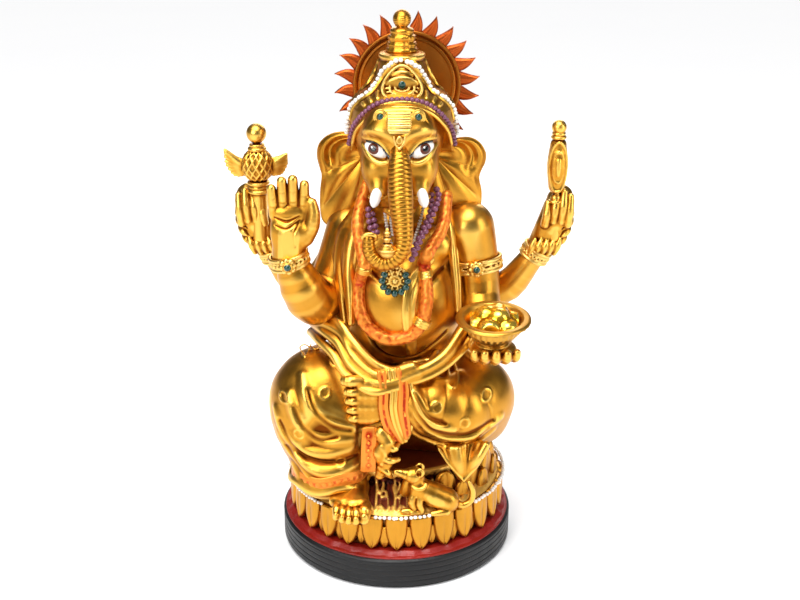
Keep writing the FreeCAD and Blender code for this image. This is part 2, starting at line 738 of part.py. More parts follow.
# ---- head -------------------------------------------------------------------------------------
def build_head():
    muzzle = limb((
        (head + brow_offset, head_half.x * 0.88), (head + cheek_offset, muzzle_radius * 1.15),
        (head + chin_offset, muzzle_radius * 0.8),
    ))
    skull = ellipsoid(head, head_half)
    parts["head"] = seated(fused(skull, muzzle), "torso", "garland", "shawl_ends")
    parts["trunk"] = seated(limb(moved(head, trunk_route)), "head", "torso")
    pot_at = head + pot_offset
    pot = Part.makeSphere(pot_radius, pot_at)
    neck_height = pot_radius * ball_sink
    neck = Part.makeCone(
        pot_neck_radius, pot_neck_radius / 2, neck_height, pot_at + Vector(0, 0, pot_radius * ball_sink)
    )
    knob = Part.makeSphere(pot_knob_radius, pot_at + Vector(0, 0, pot_radius * ball_sink + neck_height))
    parts["sweet_pot"] = seated(fused(pot, neck, knob), "trunk", "torso")
    tusks = []
    for side in (-1, 1):
        root = head + Vector(side * tusk_root.x, tusk_root.y, tusk_root.z)
        tip = root + Vector(side * tusk_flare, -tusk_reach, tusk_radius - tusk_length)
        route = ((root, tusk_radius * 0.8), ((root + tip) * 0.5, tusk_radius), (tip, tusk_radius * 0.6))
        tusks.append(seated(limb(route), "head", "trunk"))
    parts["tusks"] = Part.makeCompound(tusks)


def build_face():
    eyes = []
    for side in (-1, 1):
        x, z = head.x + side * eye_spread, head.z - eye_drop
        y = front_face("head", x, z) + eye_half.y * 0.3
        turn = Rotation(Vector(0, 0, 1), side * eye_turn)
        eyes.append(seated(ellipsoid(Vector(x, y, z), eye_half, turn), "head"))
    parts["eyes"] = Part.makeCompound(eyes)
    z = head.z + tilak_rise
    y = front_face("head", head.x, z)
    corner = Vector(head.x - tilak_width / 2, y - tilak_thickness, z - tilak_height / 2)
    tilak = Part.makeBox(tilak_width, tilak_thickness * 3, tilak_height, corner)
    parts["tilak"] = seated(tilak, "head")
    studs = []
    for side in (-1, 1):
        x = head.x + side * brow_stud_spread
        y = front_face("head", x, z + brow_stud_rise)
        stud = Part.makeCylinder(
            brow_stud_radius, brow_stud_proud * 3,
            Vector(x, y - brow_stud_proud, z + brow_stud_rise), Vector(0, 1, 0),
        )
        studs.append(seated(stud, "head"))
    parts["brow_studs"] = Part.makeCompound(studs)


def build_ears():
    for name, side, outline in (("right_ear", -1, right_ear_outline), ("left_ear", 1, left_ear_outline)):
        ear = plate([(side * x, z) for x, z in outline], 0, ear_thickness)
        ear.rotate(Vector(), Vector(0, 0, 1), side * ear_splay)
        ear.translate(head + Vector(side * ear_root.x, ear_root.y, ear_root.z))
        parts[name] = seated(ear, "head", "torso", "garland", "shawl_ends")


# ---- crown and halo -----------------------------------------------------------------------------
def build_crown():
    bell = turned(crown_profile, crown)
    below = Part.makeBox(far_off, far_off, far_off, Vector(-far_off / 2, -far_off / 2, -far_off))
    below.rotate(Vector(), Vector(1, 0, 0), -crown_rim_tilt)
    below.translate(crown - Vector(0, crown_rim_back, 0))
    parts["crown"] = seated(largest(bell.cut(below)), "head", "right_ear", "left_ear", "tilak")
    ball_at = crown_top + Vector(0, 0, finial_profile[-1][1] + finial_ball_radius * ball_sink)
    parts["finial"] = fused(turned(finial_profile, crown_top), Part.makeSphere(finial_ball_radius, ball_at))
    front = on_crown(0, medallion_rise, 0)
    drop = plate([(front.x + x, front.z + z) for x, z in medallion_outline], 0, medallion_depth)
    drop.rotate(Vector(front.x, 0, front.z), Vector(1, 0, 0), -medallion_lean)
    drop.translate(Vector(0, front.y - medallion_thickness, 0))
    parts["crown_medallion"] = seated(drop, "head", "crown")
    gem = Part.makeSphere(crown_gem_radius, front + Vector(0, -medallion_thickness, -1.0))
    parts["crown_gem"] = seated(gem, "crown_medallion")


def crown_rim_height(angle):
    """The height at which the tilted rim meets the crown at an angle from the front."""
    height = 0.0
    for _ in range(rim_steps):
        forward = crown_radius(height) * math.cos(math.radians(angle))
        height = (forward - crown_rim_back) * math.tan(math.radians(crown_rim_tilt))
    return height


def build_crown_beads():
    lift = purple_bead_radius + bead_clearance
    line = [
        on_crown(angle, crown_rim_height(angle) + purple_band_rise, lift)
        for angle in range(-purple_band_reach, purple_band_reach + 1, 10)
    ]
    spots = spaced(line, 2 * purple_bead_radius + bead_clearance)
    parts["crown_purple_beads"] = beads(spots, purple_bead_radius)
    lift = pearl_radius + bead_clearance
    rise = [(angle, crown_rim_height(angle) + gap) for angle, gap in pearl_band_rise]
    rise += list(pearl_arch)
    spots = []
    for side in (-1, 1):
        line = [on_crown(side * a, h, lift) for a, h in rise]
        spots += spaced(line, 2 * pearl_radius + pearl_gap)
    parts["crown_pearls"] = beads(spots, pearl_radius)


def build_halo():
    centre = crown + halo_offset
    back = Vector(0, 1, 0)
    front = centre - back * halo_rim_proud
    disc = Part.makeCylinder(halo_disc_radius, halo_thickness, centre, back)
    rim = Part.makeCylinder(halo_disc_radius, halo_rim_proud, front, back)
    well = Part.makeCylinder(halo_disc_radius - halo_rim_width, halo_rim_proud, front, back)
    parts["halo_disc"] = seated(fused(disc, rim.cut(well)), "crown", "head", "finial")
    edge = Part.makeCylinder(halo_disc_radius, far_off, centre - back * (far_off / 2), back)
    half = math.pi / halo_ray_count
    width = halo_tip_radius - halo_disc_radius
    ray_back = (halo_thickness - halo_ray_thickness) / 2
    rays = []
    for i in range(halo_ray_count):
        middle = 2 * half * (i + 0.5)
        points = []
        for share, turn in halo_ray_shape:
            r, a = halo_disc_radius + share * width, middle + turn * half
            points.append(centre + Vector(r * math.sin(a), ray_back, r * math.cos(a)))
        ray = Part.Face(Part.makePolygon(points + points[:1])).extrude(back * halo_ray_thickness)
        ray = largest(ray.cut(edge))
        for name in ("crown", "head", "right_ear", "left_ear", "torso"):
            ray = ray.cut(parts[name])
        rays += ray.Solids
    parts["halo_rays"] = Part.makeCompound(rays)


# ---- arms, hands and what they hold -----------------------------------------------------------------
def build_arms():
    """The four arms, each a limb from its shoulder; their routes are returned."""
    against = ["torso", "garland", "shawl_ends", "waist_sash", "hips_drape",
               "right_leg_drape", "left_leg_drape", "right_ear", "left_ear"]
    routes = {}
    for name, (spot, radius) in shoulder_spots.items():
        shoulder = (chest + Vector(spot.x * chest_half.x, spot.y, spot.z), radius)
        routes[name] = (shoulder, *moved(belly, arm_routes[name]))
        parts[name] = seated(limb(routes[name]), *against)
        against.append(name)
    return routes


def build_arm_bands(routes):
    """A bracelet at each wrist and an armlet on the upper front left arm."""
    against = ("torso", "right_ear", "left_ear", "shawl_ends", *routes)
    bands = [
        band_round(route, bracelet_at, bracelet_height, bracelet_thickness, *against)
        for route in routes.values()
    ]
    bands.append(
        band_round(routes["front_left_arm"], armlet_at, bracelet_height, armlet_thickness, *against)
    )
    parts["arm_bands"] = Part.makeCompound(bands)


def open_hand(wrist):
    """A flat raised hand: palm, four fingers and a thumb."""
    palm_at = wrist + Vector(0, 0, open_palm_rise)
    palm = ellipsoid(palm_at, open_palm_half)
    first = palm_at + Vector(-1.5 * open_finger_spread, 0, 0.6 * open_palm_half.z)
    digits = toes(
        first, Vector(open_finger_spread, 0, 0), Vector(0, 0, 1),
        [(length, finger_radius * share) for length, share in open_fingers],
    )
    root = palm_at + open_thumb_root
    return fused(palm, capsule(root, root + open_thumb_reach, finger_radius), *digits)


def cupped_hand(wrist, side):
    """A tall hand that holds a staff: a palm that leans outward, with four fingers up its front."""
    def mirrored(x, y, z):
        return wrist + Vector(side * x, y, z)

    palm = limb([(mirrored(*point), radius) for point, radius in cupped_palm])
    digits = []
    for spot in cupped_finger_spots:
        root = mirrored(*spot)
        digits.append(capsule(root, root + Vector(0, 0, cupped_finger_length), finger_radius))
    return fused(palm, *digits)


def staff(profile, ball_radius, low, leaves=()):
    """A turned staff with a ball on top and flat leaves at its sides."""
    ball_at = low + Vector(0, 0, profile[-1][1] + ball_radius * ball_sink)
    plates = []
    for leaf in leaves:
        outline = [(low.x + x, low.z + z) for x, z in leaf]
        plates.append(plate(outline, low.y - mace_leaf_thickness / 2, mace_leaf_thickness))
    return fused(turned(profile, low), Part.makeSphere(ball_radius, ball_at), *plates)


def build_raised_hands(routes):
    parts["front_right_hand"] = seated(
        open_hand(routes["front_right_arm"][-1][0]), "front_right_arm", "arm_bands", "right_ear",
    )
    leaves = (mace_right_leaf, mace_left_leaf)
    wrist = routes["rear_right_arm"][-1][0]
    against = ("rear_right_arm", "front_right_arm", "arm_bands", "front_right_hand")
    parts["mace"] = seated(staff(mace_profile, mace_ball_radius, wrist + mace_grip, leaves), *against)
    parts["rear_right_hand"] = seated(cupped_hand(wrist, -1), "mace", *against)
    wrist = routes["rear_left_arm"][-1][0]
    against = ("rear_left_arm", "front_left_arm", "arm_bands")
    parts["goad"] = seated(staff(goad_profile, goad_ball_radius, wrist + goad_grip), *against)
    parts["rear_left_hand"] = seated(cupped_hand(wrist, 1), "goad", *against)


def build_bowl(routes):
    """The bowl, its heap of sweets, and the hand under it."""
    foot = routes["front_left_arm"][-1][0] + bowl_offset
    outer = turned((
        (bowl_foot_radius, 0), (bowl_rim_radius - bowl_lip * 0.9, bowl_depth * 0.55),
        (bowl_rim_radius - bowl_lip * 0.4, bowl_depth * 0.8), (bowl_rim_radius, bowl_depth - 1.0),
        (bowl_rim_radius, bowl_depth),
    ), foot)
    inner_radius = bowl_rim_radius - bowl_lip
    hollow = turned((
        (bowl_foot_radius - bowl_wall, bowl_wall), (inner_radius - bowl_wall * 0.6, bowl_depth * 0.6),
        (inner_radius, bowl_depth),
    ), foot)
    bowl = outer.cut(hollow)
    mouth = Part.makeCylinder(inner_radius, far_off, foot)
    sweets = []
    for count, reach, rise in sweet_layers:
        for i in range(count):
            a = 2 * math.pi * (i + 0.3 * rise) / count
            spot = foot + Vector(reach * math.cos(a), reach * math.sin(a), bowl_depth * 0.55 + rise)
            sweet = largest(Part.makeSphere(sweet_radius, spot).cut(bowl).common(mouth))
            for other in sweets:
                sweet = largest(sweet.cut(other))
            sweets.append(sweet)
    for solid in (bowl, *sweets):
        solid.rotate(foot, Vector(1, 0, 0), bowl_tilt)
    parts["bowl"] = seated(bowl, "front_left_arm", "left_leg_drape")
    parts["sweets"] = Part.makeCompound(sweets)
    digits = []
    for i in range(len(open_fingers)):
        root = foot + bowl_finger_root + bowl_finger_step * i
        digits.append(capsule(root, root + bowl_finger_reach + bowl_finger_turn * i, finger_radius))
    parts["front_left_hand"] = seated(
        fused(ellipsoid(foot + bowl_palm_offset, bowl_palm_half), *digits), "bowl", "front_left_arm",
        "arm_bands", "left_leg_drape", "waist_sash",
    )


# ---- mouse ------------------------------------------------------------------------------------
def build_mouse():
    routes = (
        mouse_body, mouse_haunch, mouse_neck, mouse_snout, mouse_fore_leg, mouse_tail, mouse_right_ear,
        mouse_left_ear,
    )
    base = mouse_spot + Vector(0, 0, ledge_z)
    creature = above(fused(*(limb(moved(base, route)) for route in routes)), ledge_z)
    parts["mouse"] = seated(
        creature, "upper_drum", "upper_petals", "cloth_tail", "front_pleat", "left_leg_drape",
        "right_foot", "base_pearls",
    )


def trim_beads(name, *covers):
    """Leaves out the beads of a string that the pieces over them would cut into."""
    kept = []
    for bead in parts[name].Solids:
        near = [parts[n] for n in covers if parts[n].BoundBox.intersect(bead.BoundBox)]
        if sum(piece.common(bead).Volume for piece in near) < bead_overlap_allowed:
            kept.append(bead)
    parts[name] = Part.makeCompound(kept)


def main():
    build_base()
    build_lower_petals()
    build_upper_tier()
    build_legs()
    build_right_foot()
    build_left_foot()
    build_leg_cloth()
    build_torso()
    build_dress()
    build_jewels()
    build_head()
    build_face()
    build_ears()
    build_crown()
    build_crown_beads()
    build_halo()
    routes = build_arms()
    build_arm_bands(routes)
    build_raised_hands(routes)
    build_bowl(routes)
    build_mouse()
    trim_beads("base_pearls", "right_foot", "mouse", "right_leg_drape")
    trim_beads("crown_pearls", "head", "right_ear", "left_ear", "crown_medallion")
    trim_beads("crown_purple_beads", "head", "right_ear", "left_ear")
    os.makedirs("parts", exist_ok=True)
    for name, shape in parts.items():
        shape.exportStep(f"parts/{name}.step")
        print(f"{name:22s} solids {len(shape.Solids):4d}  volume {shape.Volume / 1000:9.3f} cm3")


main()
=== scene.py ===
import math
import random
import bpy
import numpy as np
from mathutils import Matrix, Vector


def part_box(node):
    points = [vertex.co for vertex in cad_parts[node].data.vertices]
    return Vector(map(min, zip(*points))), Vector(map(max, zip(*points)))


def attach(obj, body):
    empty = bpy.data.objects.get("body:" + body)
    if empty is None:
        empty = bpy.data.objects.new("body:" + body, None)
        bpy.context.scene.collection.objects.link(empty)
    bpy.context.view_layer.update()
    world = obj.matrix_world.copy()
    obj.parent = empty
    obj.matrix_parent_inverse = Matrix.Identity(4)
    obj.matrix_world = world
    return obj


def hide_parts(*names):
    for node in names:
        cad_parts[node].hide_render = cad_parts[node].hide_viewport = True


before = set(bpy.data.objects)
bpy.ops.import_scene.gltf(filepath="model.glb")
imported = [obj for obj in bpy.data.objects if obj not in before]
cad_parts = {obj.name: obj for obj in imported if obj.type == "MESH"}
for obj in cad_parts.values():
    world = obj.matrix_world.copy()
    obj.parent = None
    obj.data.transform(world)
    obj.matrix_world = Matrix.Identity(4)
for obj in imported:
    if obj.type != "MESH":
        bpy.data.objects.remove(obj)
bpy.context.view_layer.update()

import openvdb
from mathutils import Vector

# Every length below is in millimetres in the figure's own frame: +Z up, the figure faces -Y, its
# right side is -X.  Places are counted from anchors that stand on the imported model's base.
MM = 0.001
FAR = 50.0
BELLY_FROM_SEAT = (2.5, -9.0, 93.0)
HEAD_FROM_BELLY = (-0.5, 2.0, 86.0)
FACE_FROM_HEAD = (-0.55, 0.0, 0.0)
CROWN_FROM_HEAD = (0.8, 5.0, 4.0)
MACE_FROM_BELLY = (-76.2, 9.5, 0.0)


def node_box(node):
    """A node's lowest and highest corners in millimetres."""
    low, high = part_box(node)
    return np.array(low) / MM, np.array(high) / MM


def foot_middle(low, high):
    """The middle of a box's underside."""
    return np.array([(low[0] + high[0]) / 2, (low[1] + high[1]) / 2, low[2]])


plinth_low, plinth_high = node_box("plinth")
disc_low, disc_high = node_box("red_base_disc")
drum_low, drum_high = node_box("lower_drum")
seat_high = node_box("upper_drum")[1]
pearl_low, pearl_high = node_box("base_pearls")
mouse_low, mouse_high = node_box("mouse")
halo_low, halo_high = node_box("halo_disc")
rays_low, rays_high = node_box("halo_rays")
finial_low, finial_high = node_box("finial")
bowl_low, bowl_high = node_box("bowl")

ledge = np.array([0.0, 0.0, drum_high[2]])
seat = np.array([0.0, 0.0, seat_high[2]])
belly = seat + BELLY_FROM_SEAT
head = belly + HEAD_FROM_BELLY
face_middle = head + FACE_FROM_HEAD
crown_middle = head + CROWN_FROM_HEAD
mace_axis = belly + MACE_FROM_BELLY


# ---- modelling clay: signed-distance fields turned into smooth meshes ------------------------------
def smooth_line(points, pitch):
    """Points about a pitch apart along the smooth line through the given points."""
    points = np.array(points, float)
    ends = np.vstack([2 * points[0] - points[1], points, 2 * points[-1] - points[-2]])
    line = []
    for a, b, c, d in zip(ends, ends[1:], ends[2:], ends[3:]):
        count = max(2, int(np.linalg.norm((c - b)[:3]) / pitch) + 1)
        for t in np.arange(count) / count:
            line.append(0.5 * (2 * b + (c - a) * t + (2 * a - 5 * b + 4 * c - d) * t ** 2
                               + (3 * b - a - 3 * c + d) * t ** 3))
    line.append(points[-1])
    return np.array(line)


def arc_lengths(line):
    """The length along a line up to each of its points."""
    steps = np.linalg.norm(np.diff(line, axis=0), axis=1)
    return np.concatenate([[0], np.cumsum(steps)])


def turns(count):
    """Even angles round one full turn."""
    return np.arange(count) * math.tau / count


def ellipse(centre, across, up, count):
    """Points round a centre, from the two half axes of an ellipse."""
    across, up = np.array(across, float), np.array(up, float)
    return [centre + across * math.cos(a) + up * math.sin(a) for a in turns(count)]


def points_from(origin, *offsets):
    """Points given by their offsets from an origin."""
    return [origin + offset for offset in offsets]


def store_crease(mesh, values):
    """Keeps how hollow (negative) or proud (positive) each point is, for the paint's painted shade and
    painted highlight.
    """
    layer = mesh.attributes.new("crease", "FLOAT", "POINT")
    layer.data.foreach_set("value", np.array(values, np.float32))


class Clay:
    """A lump of clay: the distance to its surface on a cubic grid, negative inside."""

    def __init__(self, low, high, step):
        self.step = step
        self.low = np.array(low, float) - 2 * step
        counts = np.ceil((np.array(high) - self.low) / step).astype(int) + 3
        self.axes = [self.low[i] + step * np.arange(counts[i]) for i in range(3)]
        self.field = np.full(counts, FAR, np.float32)

    def window(self, low, high):
        """The part of the grid inside a box: its slices and its coordinates."""
        slices = []
        for i in range(3):
            first = max(0, int((low[i] - self.low[i]) / self.step))
            last = min(len(self.axes[i]), int((high[i] - self.low[i]) / self.step) + 2)
            if last <= first:
                return None, None
            slices.append(slice(first, last))
        coords = np.ix_(*(axis[s].astype(np.float32) for axis, s in zip(self.axes, slices)))
        return tuple(slices), coords

    def merge(self, where, shape, soft, cut):
        """Adds a shape to the clay, or cuts it away, with a soft join."""
        old = self.field[where]
        if cut:
            shape = -shape
        if soft > 0:
            near = np.maximum(soft - np.abs(old - shape), 0) / soft
            bulge = near * near * soft * 0.25
        else:
            bulge = 0.0
        self.field[where] = np.maximum(old, shape) + bulge if cut else np.minimum(old, shape) - bulge

    def ball(self, centre, half, soft=0.0, turn=(0, 0, 0), cut=False):
        """An ellipsoid with the three half sizes, turned about X, Y and Z in degrees."""
        half = np.array(half, float) * np.ones(3)
        reach = half.max() + soft + self.step
        where, coords = self.window(np.array(centre) - reach, np.array(centre) + reach)
        if where is None:
            return
        x, y, z = coords
        p = [x - centre[0], y - centre[1], z - centre[2]]
        for axis, angle in enumerate(turn):
            if angle:
                c, s = math.cos(math.radians(angle)), math.sin(math.radians(angle))
                i, j = (axis + 1) % 3, (axis + 2) % 3
                p[i], p[j] = c * p[i] + s * p[j], c * p[j] - s * p[i]
        near = np.sqrt(sum((p[i] / half[i]) ** 2 for i in range(3)))
        slope = np.sqrt(sum((p[i] / half[i] ** 2) ** 2 for i in range(3)))
        self.merge(where, near * (near - 1) / np.maximum(slope, 1e-4), soft, cut)

    def rope(self, points, radii, soft=0.0, cut=False, pitch=None, closed=False):
        """A rounded bar along a smooth line; radii is one radius or one for each point."""
        points = [tuple(p) for p in points]
        if closed:
            points = points + points[:1]
        if np.isscalar(radii):
            radii = [radii] * len(points)
        elif closed:
            radii = list(radii) + [radii[0]]
        with_radii = [tuple(p) + (r,) for p, r in zip(points, radii)]
        line = smooth_line(with_radii, pitch or max(0.8, 0.7 * max(radii)))
        reach = line[:, 3].max() + soft + self.step
        where, coords = self.window(line[:, :3].min(0) - reach, line[:, :3].max(0) + reach)
        if where is None:
            return
        shape = np.full([c.size for c in coords], FAR, np.float32)
        corner = [c.ravel()[0] for c in coords]
        for a, b in zip(line, line[1:]):
            low = np.minimum(a[:3], b[:3]) - max(a[3], b[3]) - soft - self.step
            high = np.maximum(a[:3], b[:3]) + max(a[3], b[3]) + soft + self.step
            cells = []
            for i in range(3):
                first = max(0, int((low[i] - corner[i]) / self.step))
                cells.append(slice(first, max(first, int((high[i] - corner[i]) / self.step) + 2)))
            x = coords[0][cells[0]] - a[0]
            y = coords[1][:, cells[1]] - a[1]
            z = coords[2][:, :, cells[2]] - a[2]
            if not (x.size and y.size and z.size):
                continue
            along = b[:3] - a[:3]
            share = (x * along[0] + y * along[1] + z * along[2]) / max(along @ along, 1e-9)
            share = np.clip(share, 0, 1)
            gap = np.sqrt((x - share * along[0]) ** 2 + (y - share * along[1]) ** 2
                          + (z - share * along[2]) ** 2)
            cell = tuple(cells)
            shape[cell] = np.minimum(shape[cell], gap - (a[3] + share * (b[3] - a[3])))
        self.merge(where, shape, soft, cut)

    def face(self, x, z, back=False):
        """The y of the front (or back) surface at x and z."""
        i = int(np.clip(round((x - self.low[0]) / self.step), 0, len(self.axes[0]) - 1))
        k = int(np.clip(round((z - self.low[2]) / self.step), 0, len(self.axes[2]) - 1))
        column = self.field[i, :, k]
        inside = np.nonzero(column < 0)[0]
        if not len(inside):
            return self.axes[1][int(column.argmin())]
        j = inside[-1] if back else inside[0]
        return self.axes[1][j]

    def on_face(self, origin, points, lift=0.0, back=False):
        """Points on the front or back surface, given by x and z counted from an origin."""
        line = smooth_line([(x, 0, z) for x, z in points], 3.0)
        out = []
        sign = 1 if back else -1
        for x, _, z in line:
            x, z = origin[0] + x, origin[2] + z
            out.append((x, self.face(x, z, back) + sign * lift, z))
        out = np.array(out)
        if len(out) > 4:
            mid = (out[:-2, 1] + 2 * out[1:-1, 1] + out[2:, 1]) / 4
            out[1:-1, 1] = mid
        return out

    def ridge(self, origin, points, radius, soft=2.0, lift=0.0, back=False, cut=False, taper=True):
        """A fold laid on the front or back surface, thinner at its ends."""
        line = self.on_face(origin, points, lift, back)
        share = np.linspace(0, 1, len(line))
        radii = radius * (0.35 + 0.65 * np.sin(np.pi * share) ** 0.6) if taper else [radius] * len(line)
        self.rope(line, list(radii), soft, cut, pitch=1.5)

    def ring_mark(self, origin, spot, radius, thick):
        """A raised ring on the front surface."""
        points = [(spot[0] + radius * math.cos(a), spot[1] + radius * math.sin(a)) for a in turns(12)]
        self.ridge(origin, points + points[:2], thick, 0.6, 0.0, taper=False)

    def above(self, z):
        """Cuts away what is below a height."""
        self.field = np.maximum(self.field, (z - self.axes[2]).astype(np.float32)[None, None, :])

    def ripple(self, amount, scale, seed):
        """Slight hand-made unevenness of the surface."""
        rng = np.random.default_rng(seed)
        x, y, z = np.ix_(*(axis.astype(np.float32) for axis in self.axes))
        total = 0.0
        for _ in range(3):
            kx, ky, kz = rng.normal(size=3) / scale
            total = total + np.sin(kx * x + ky * y + kz * z + rng.uniform(0, math.tau))
        self.field += (amount / 3) * total

    def crease(self):
        """How hollow (negative) or proud (positive) the surface is around each grid cell."""
        soft = np.clip(self.field, -4, 4)
        blurred = soft
        for width in (5, 5):
            for axis in range(3):
                total = sum(np.roll(blurred, k - width // 2, axis) for k in range(width))
                blurred = total / width
        return (blurred - soft) / self.step

    def mesh(self, name):
        """A mesh of the surface, with the crease stored for the paint's painted shade in hollows and painted
        highlight on proud parts.
        """
        grid = openvdb.FloatGrid(FAR)
        grid.copyFromArray(np.clip(self.field, -FAR, FAR).astype(np.float32))
        points, triangles, quads = grid.convertToPolygons(0.0, 0.0)
        mesh = bpy.data.meshes.new(name)
        faces = [tuple(int(i) for i in q[::-1]) for q in quads]
        faces += [tuple(int(i) for i in t[::-1]) for t in triangles]
        mesh.from_pydata(((points * self.step + self.low) * MM).tolist(), [], faces)
        hollow = self.crease()
        cell = np.clip(points, 0, np.array(hollow.shape) - 2)
        base = cell.astype(int)
        part = cell - base
        value = 0.0
        for corner in np.ndindex(2, 2, 2):
            weight = np.prod(np.where(corner, part, 1 - part), axis=1)
            value = value + weight * hollow[tuple((base + corner).T)]
        store_crease(mesh, value)
        mesh.shade_smooth()
        return mesh


# ---- pieces ------------------------------------------------------------------------------------
def add_piece(name, mesh, material, slot, *nodes):
    """Puts a mesh in the scene as a piece that rides on the statue and stands for CAD nodes."""
    mesh.materials.clear()
    mesh.materials.append(material)
    piece = bpy.data.objects.new(name, mesh)
    bpy.context.scene.collection.objects.link(piece)
    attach(piece, "root")
    if nodes:
        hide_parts(*nodes)


def cast(name, clay, material, slot, *nodes):
    """Adds the surface of some clay as a piece."""
    add_piece(name, clay.mesh(name), material, slot, *nodes)


def plain_mesh(name, points, faces):
    """A smooth mesh from points in millimetres."""
    mesh = bpy.data.meshes.new(name)
    mesh.from_pydata([tuple(np.array(p) * MM) for p in points], [], faces)
    mesh.shade_smooth()
    return mesh


def grid_faces(rows, columns, wrap):
    """The quads of a grid of points whose columns may close round."""
    faces = []
    last = columns if wrap else columns - 1
    for i in range(rows - 1):
        for j in range(last):
            k = (j + 1) % columns
            faces.append((i * columns + j, i * columns + k, (i + 1) * columns + k, (i + 1) * columns + j))
    return faces


def shell_faces(rows, columns):
    """The faces of a closed shell from a front grid, then a back grid of the same points."""
    size = rows * columns
    front = grid_faces(rows, columns, False)
    back = [tuple(size + k for k in f[::-1]) for f in front]
    rim = list(range(columns)) + [i * columns + columns - 1 for i in range(1, rows)]
    rim += [(rows - 1) * columns + j for j in range(columns - 2, -1, -1)]
    rim += [i * columns for i in range(rows - 2, 0, -1)]
    sides = [(b, a, size + a, size + b) for a, b in zip(rim, rim[1:] + rim[:1])]
    return front + back + sides


def reshape(mesh, change):
    """Moves a mesh's points by a function of their x, y and z in millimetres."""
    points = np.empty(len(mesh.vertices) * 3)
    mesh.vertices.foreach_get("co", points)
    x, y, z = (points.reshape(-1, 3) / MM).T
    mesh.vertices.foreach_set("co", (np.stack(change(x, y, z), axis=1) * MM).ravel())


def lathe_mesh(name, centre, profile, segments=128, wave=None):
    """A closed turned shape from (radius, height) points, lowest first."""
    points = []
    for i, (r, z) in enumerate(profile):
        for j in range(segments):
            a = math.tau * j / segments
            reach = r + (wave(i, a) if wave else 0.0)
            points.append((centre[0] + reach * math.cos(a), centre[1] + reach * math.sin(a), centre[2] + z))
    rows = len(profile)
    faces = grid_faces(rows, segments, True)
    points.append((centre[0], centre[1], centre[2] + profile[0][1]))
    points.append((centre[0], centre[1], centre[2] + profile[-1][1]))
    for j in range(segments):
        k = (j + 1) % segments
        faces.append((rows * segments, k, j))
        top = (rows - 1) * segments
        faces.append((rows * segments + 1, top + j, top + k))
    return plain_mesh(name, points, faces)


def rounded_profile(points, size):
    """A profile whose corners are rounded by a size."""
    out = [points[0]]
    for a, b, c in zip(points, points[1:], points[2:]):
        a, b, c = np.array(a, float), np.array(b, float), np.array(c, float)
        before = b + (a - b) / max(np.linalg.norm(a - b), 1e-6) * min(size, np.linalg.norm(a - b) / 2)
        after = b + (c - b) / max(np.linalg.norm(c - b), 1e-6) * min(size, np.linalg.norm(c - b) / 2)
        for t in (0, 0.25, 0.5, 0.75, 1):
            out.append(tuple((1 - t) ** 2 * before + 2 * t * (1 - t) * b + t ** 2 * after))
    out.append(points[-1])
    return out


def bead_mesh(name, centres, radius, seed, spread=0.08, squash=0.9):
    """Slightly uneven beads, each a closed rounded mesh."""
    rng = random.Random(seed)
    rows, columns = 9, 12
    points, faces = [], []
    for centre in centres:
        size = radius * rng.uniform(1 - spread, 1 + spread * 0.3)
        tilt = rng.uniform(0, math.tau)
        base = len(points)
        for i in range(rows):
            polar = math.pi * (i + 0.5) / rows
            for j in range(columns):
                a = math.tau * j / columns + tilt
                points.append((
                    centre[0] + size * math.sin(polar) * math.cos(a),
                    centre[1] + size * math.sin(polar) * math.sin(a),
                    centre[2] + size * squash * math.cos(polar),
                ))
        faces += [tuple(base + k for k in f) for f in grid_faces(rows, columns, True)]
        faces.append(tuple(base + j for j in range(columns)))
        faces.append(tuple(base + (rows - 1) * columns + columns - 1 - j for j in range(columns)))
    return plain_mesh(name, points, [f[::-1] for f in faces])


def spaced(points, pitch):
    """Points exactly a pitch apart along the smooth line through the given points."""
    line = smooth_line(points, pitch / 6)
    length = arc_lengths(line)
    marks = np.arange(0, length[-1], pitch)
    return np.stack([np.interp(marks, length, line[:, i]) for i in range(3)], axis=1)


# ---- paint -------------------------------------------------------------------------------------
CLOUD_SCALE = 55.0
SPECKLE_SCALE = 420.0
GLOSS_SCALE = 140.0
GRAIN_SCALE = 900.0
GRAIN_HEIGHT = 0.0004
CLOUD_SHADE = 0.84
# How proud a point must be to take the painted highlight, and how hollow to take the painted shade.
PROUD_FROM, PROUD_TO = 0.10, 0.45
HOLLOW_FROM, HOLLOW_TO = -0.42, -0.03
COAT_ROUGHNESS = 0.12
SPECULAR_LEVEL = 0.3


def new_material(name):
    """A material with its nodes, its links and its shader."""
    material = bpy.data.materials.new(name)
    material.use_nodes = True
    nodes = material.node_tree.nodes
    return material, nodes, material.node_tree.links, nodes["Principled BSDF"]


def noise(nodes, links, scale, detail):
    """Noise fixed to the object."""
    place = nodes.new("ShaderNodeTexCoord")
    texture = nodes.new("ShaderNodeTexNoise")
    texture.inputs["Scale"].default_value = scale
    texture.inputs["Detail"].default_value = detail
    links.new(place.outputs["Object"], texture.inputs["Vector"])
    return texture.outputs["Fac"]


def remap(nodes, links, value, *limits):
    """A value carried from one range to another."""
    node = nodes.new("ShaderNodeMapRange")
    for key, number in zip(("From Min", "From Max", "To Min", "To Max"), limits):
        node.inputs[key].default_value = number
    links.new(value, node.inputs["Value"])
    return node.outputs["Result"]


def blend_colours(nodes, links, share, low, high):
    """A mix of two colours or colour sockets."""
    node = nodes.new("ShaderNodeMix")
    node.data_type = "RGBA"
    links.new(share, node.inputs["Factor"])
    for socket, colour in ((node.inputs[6], low), (node.inputs[7], high)):
        if isinstance(colour, tuple):
            socket.default_value = colour + (1.0,)
        else:
            links.new(colour, socket)
    return node.outputs[2]
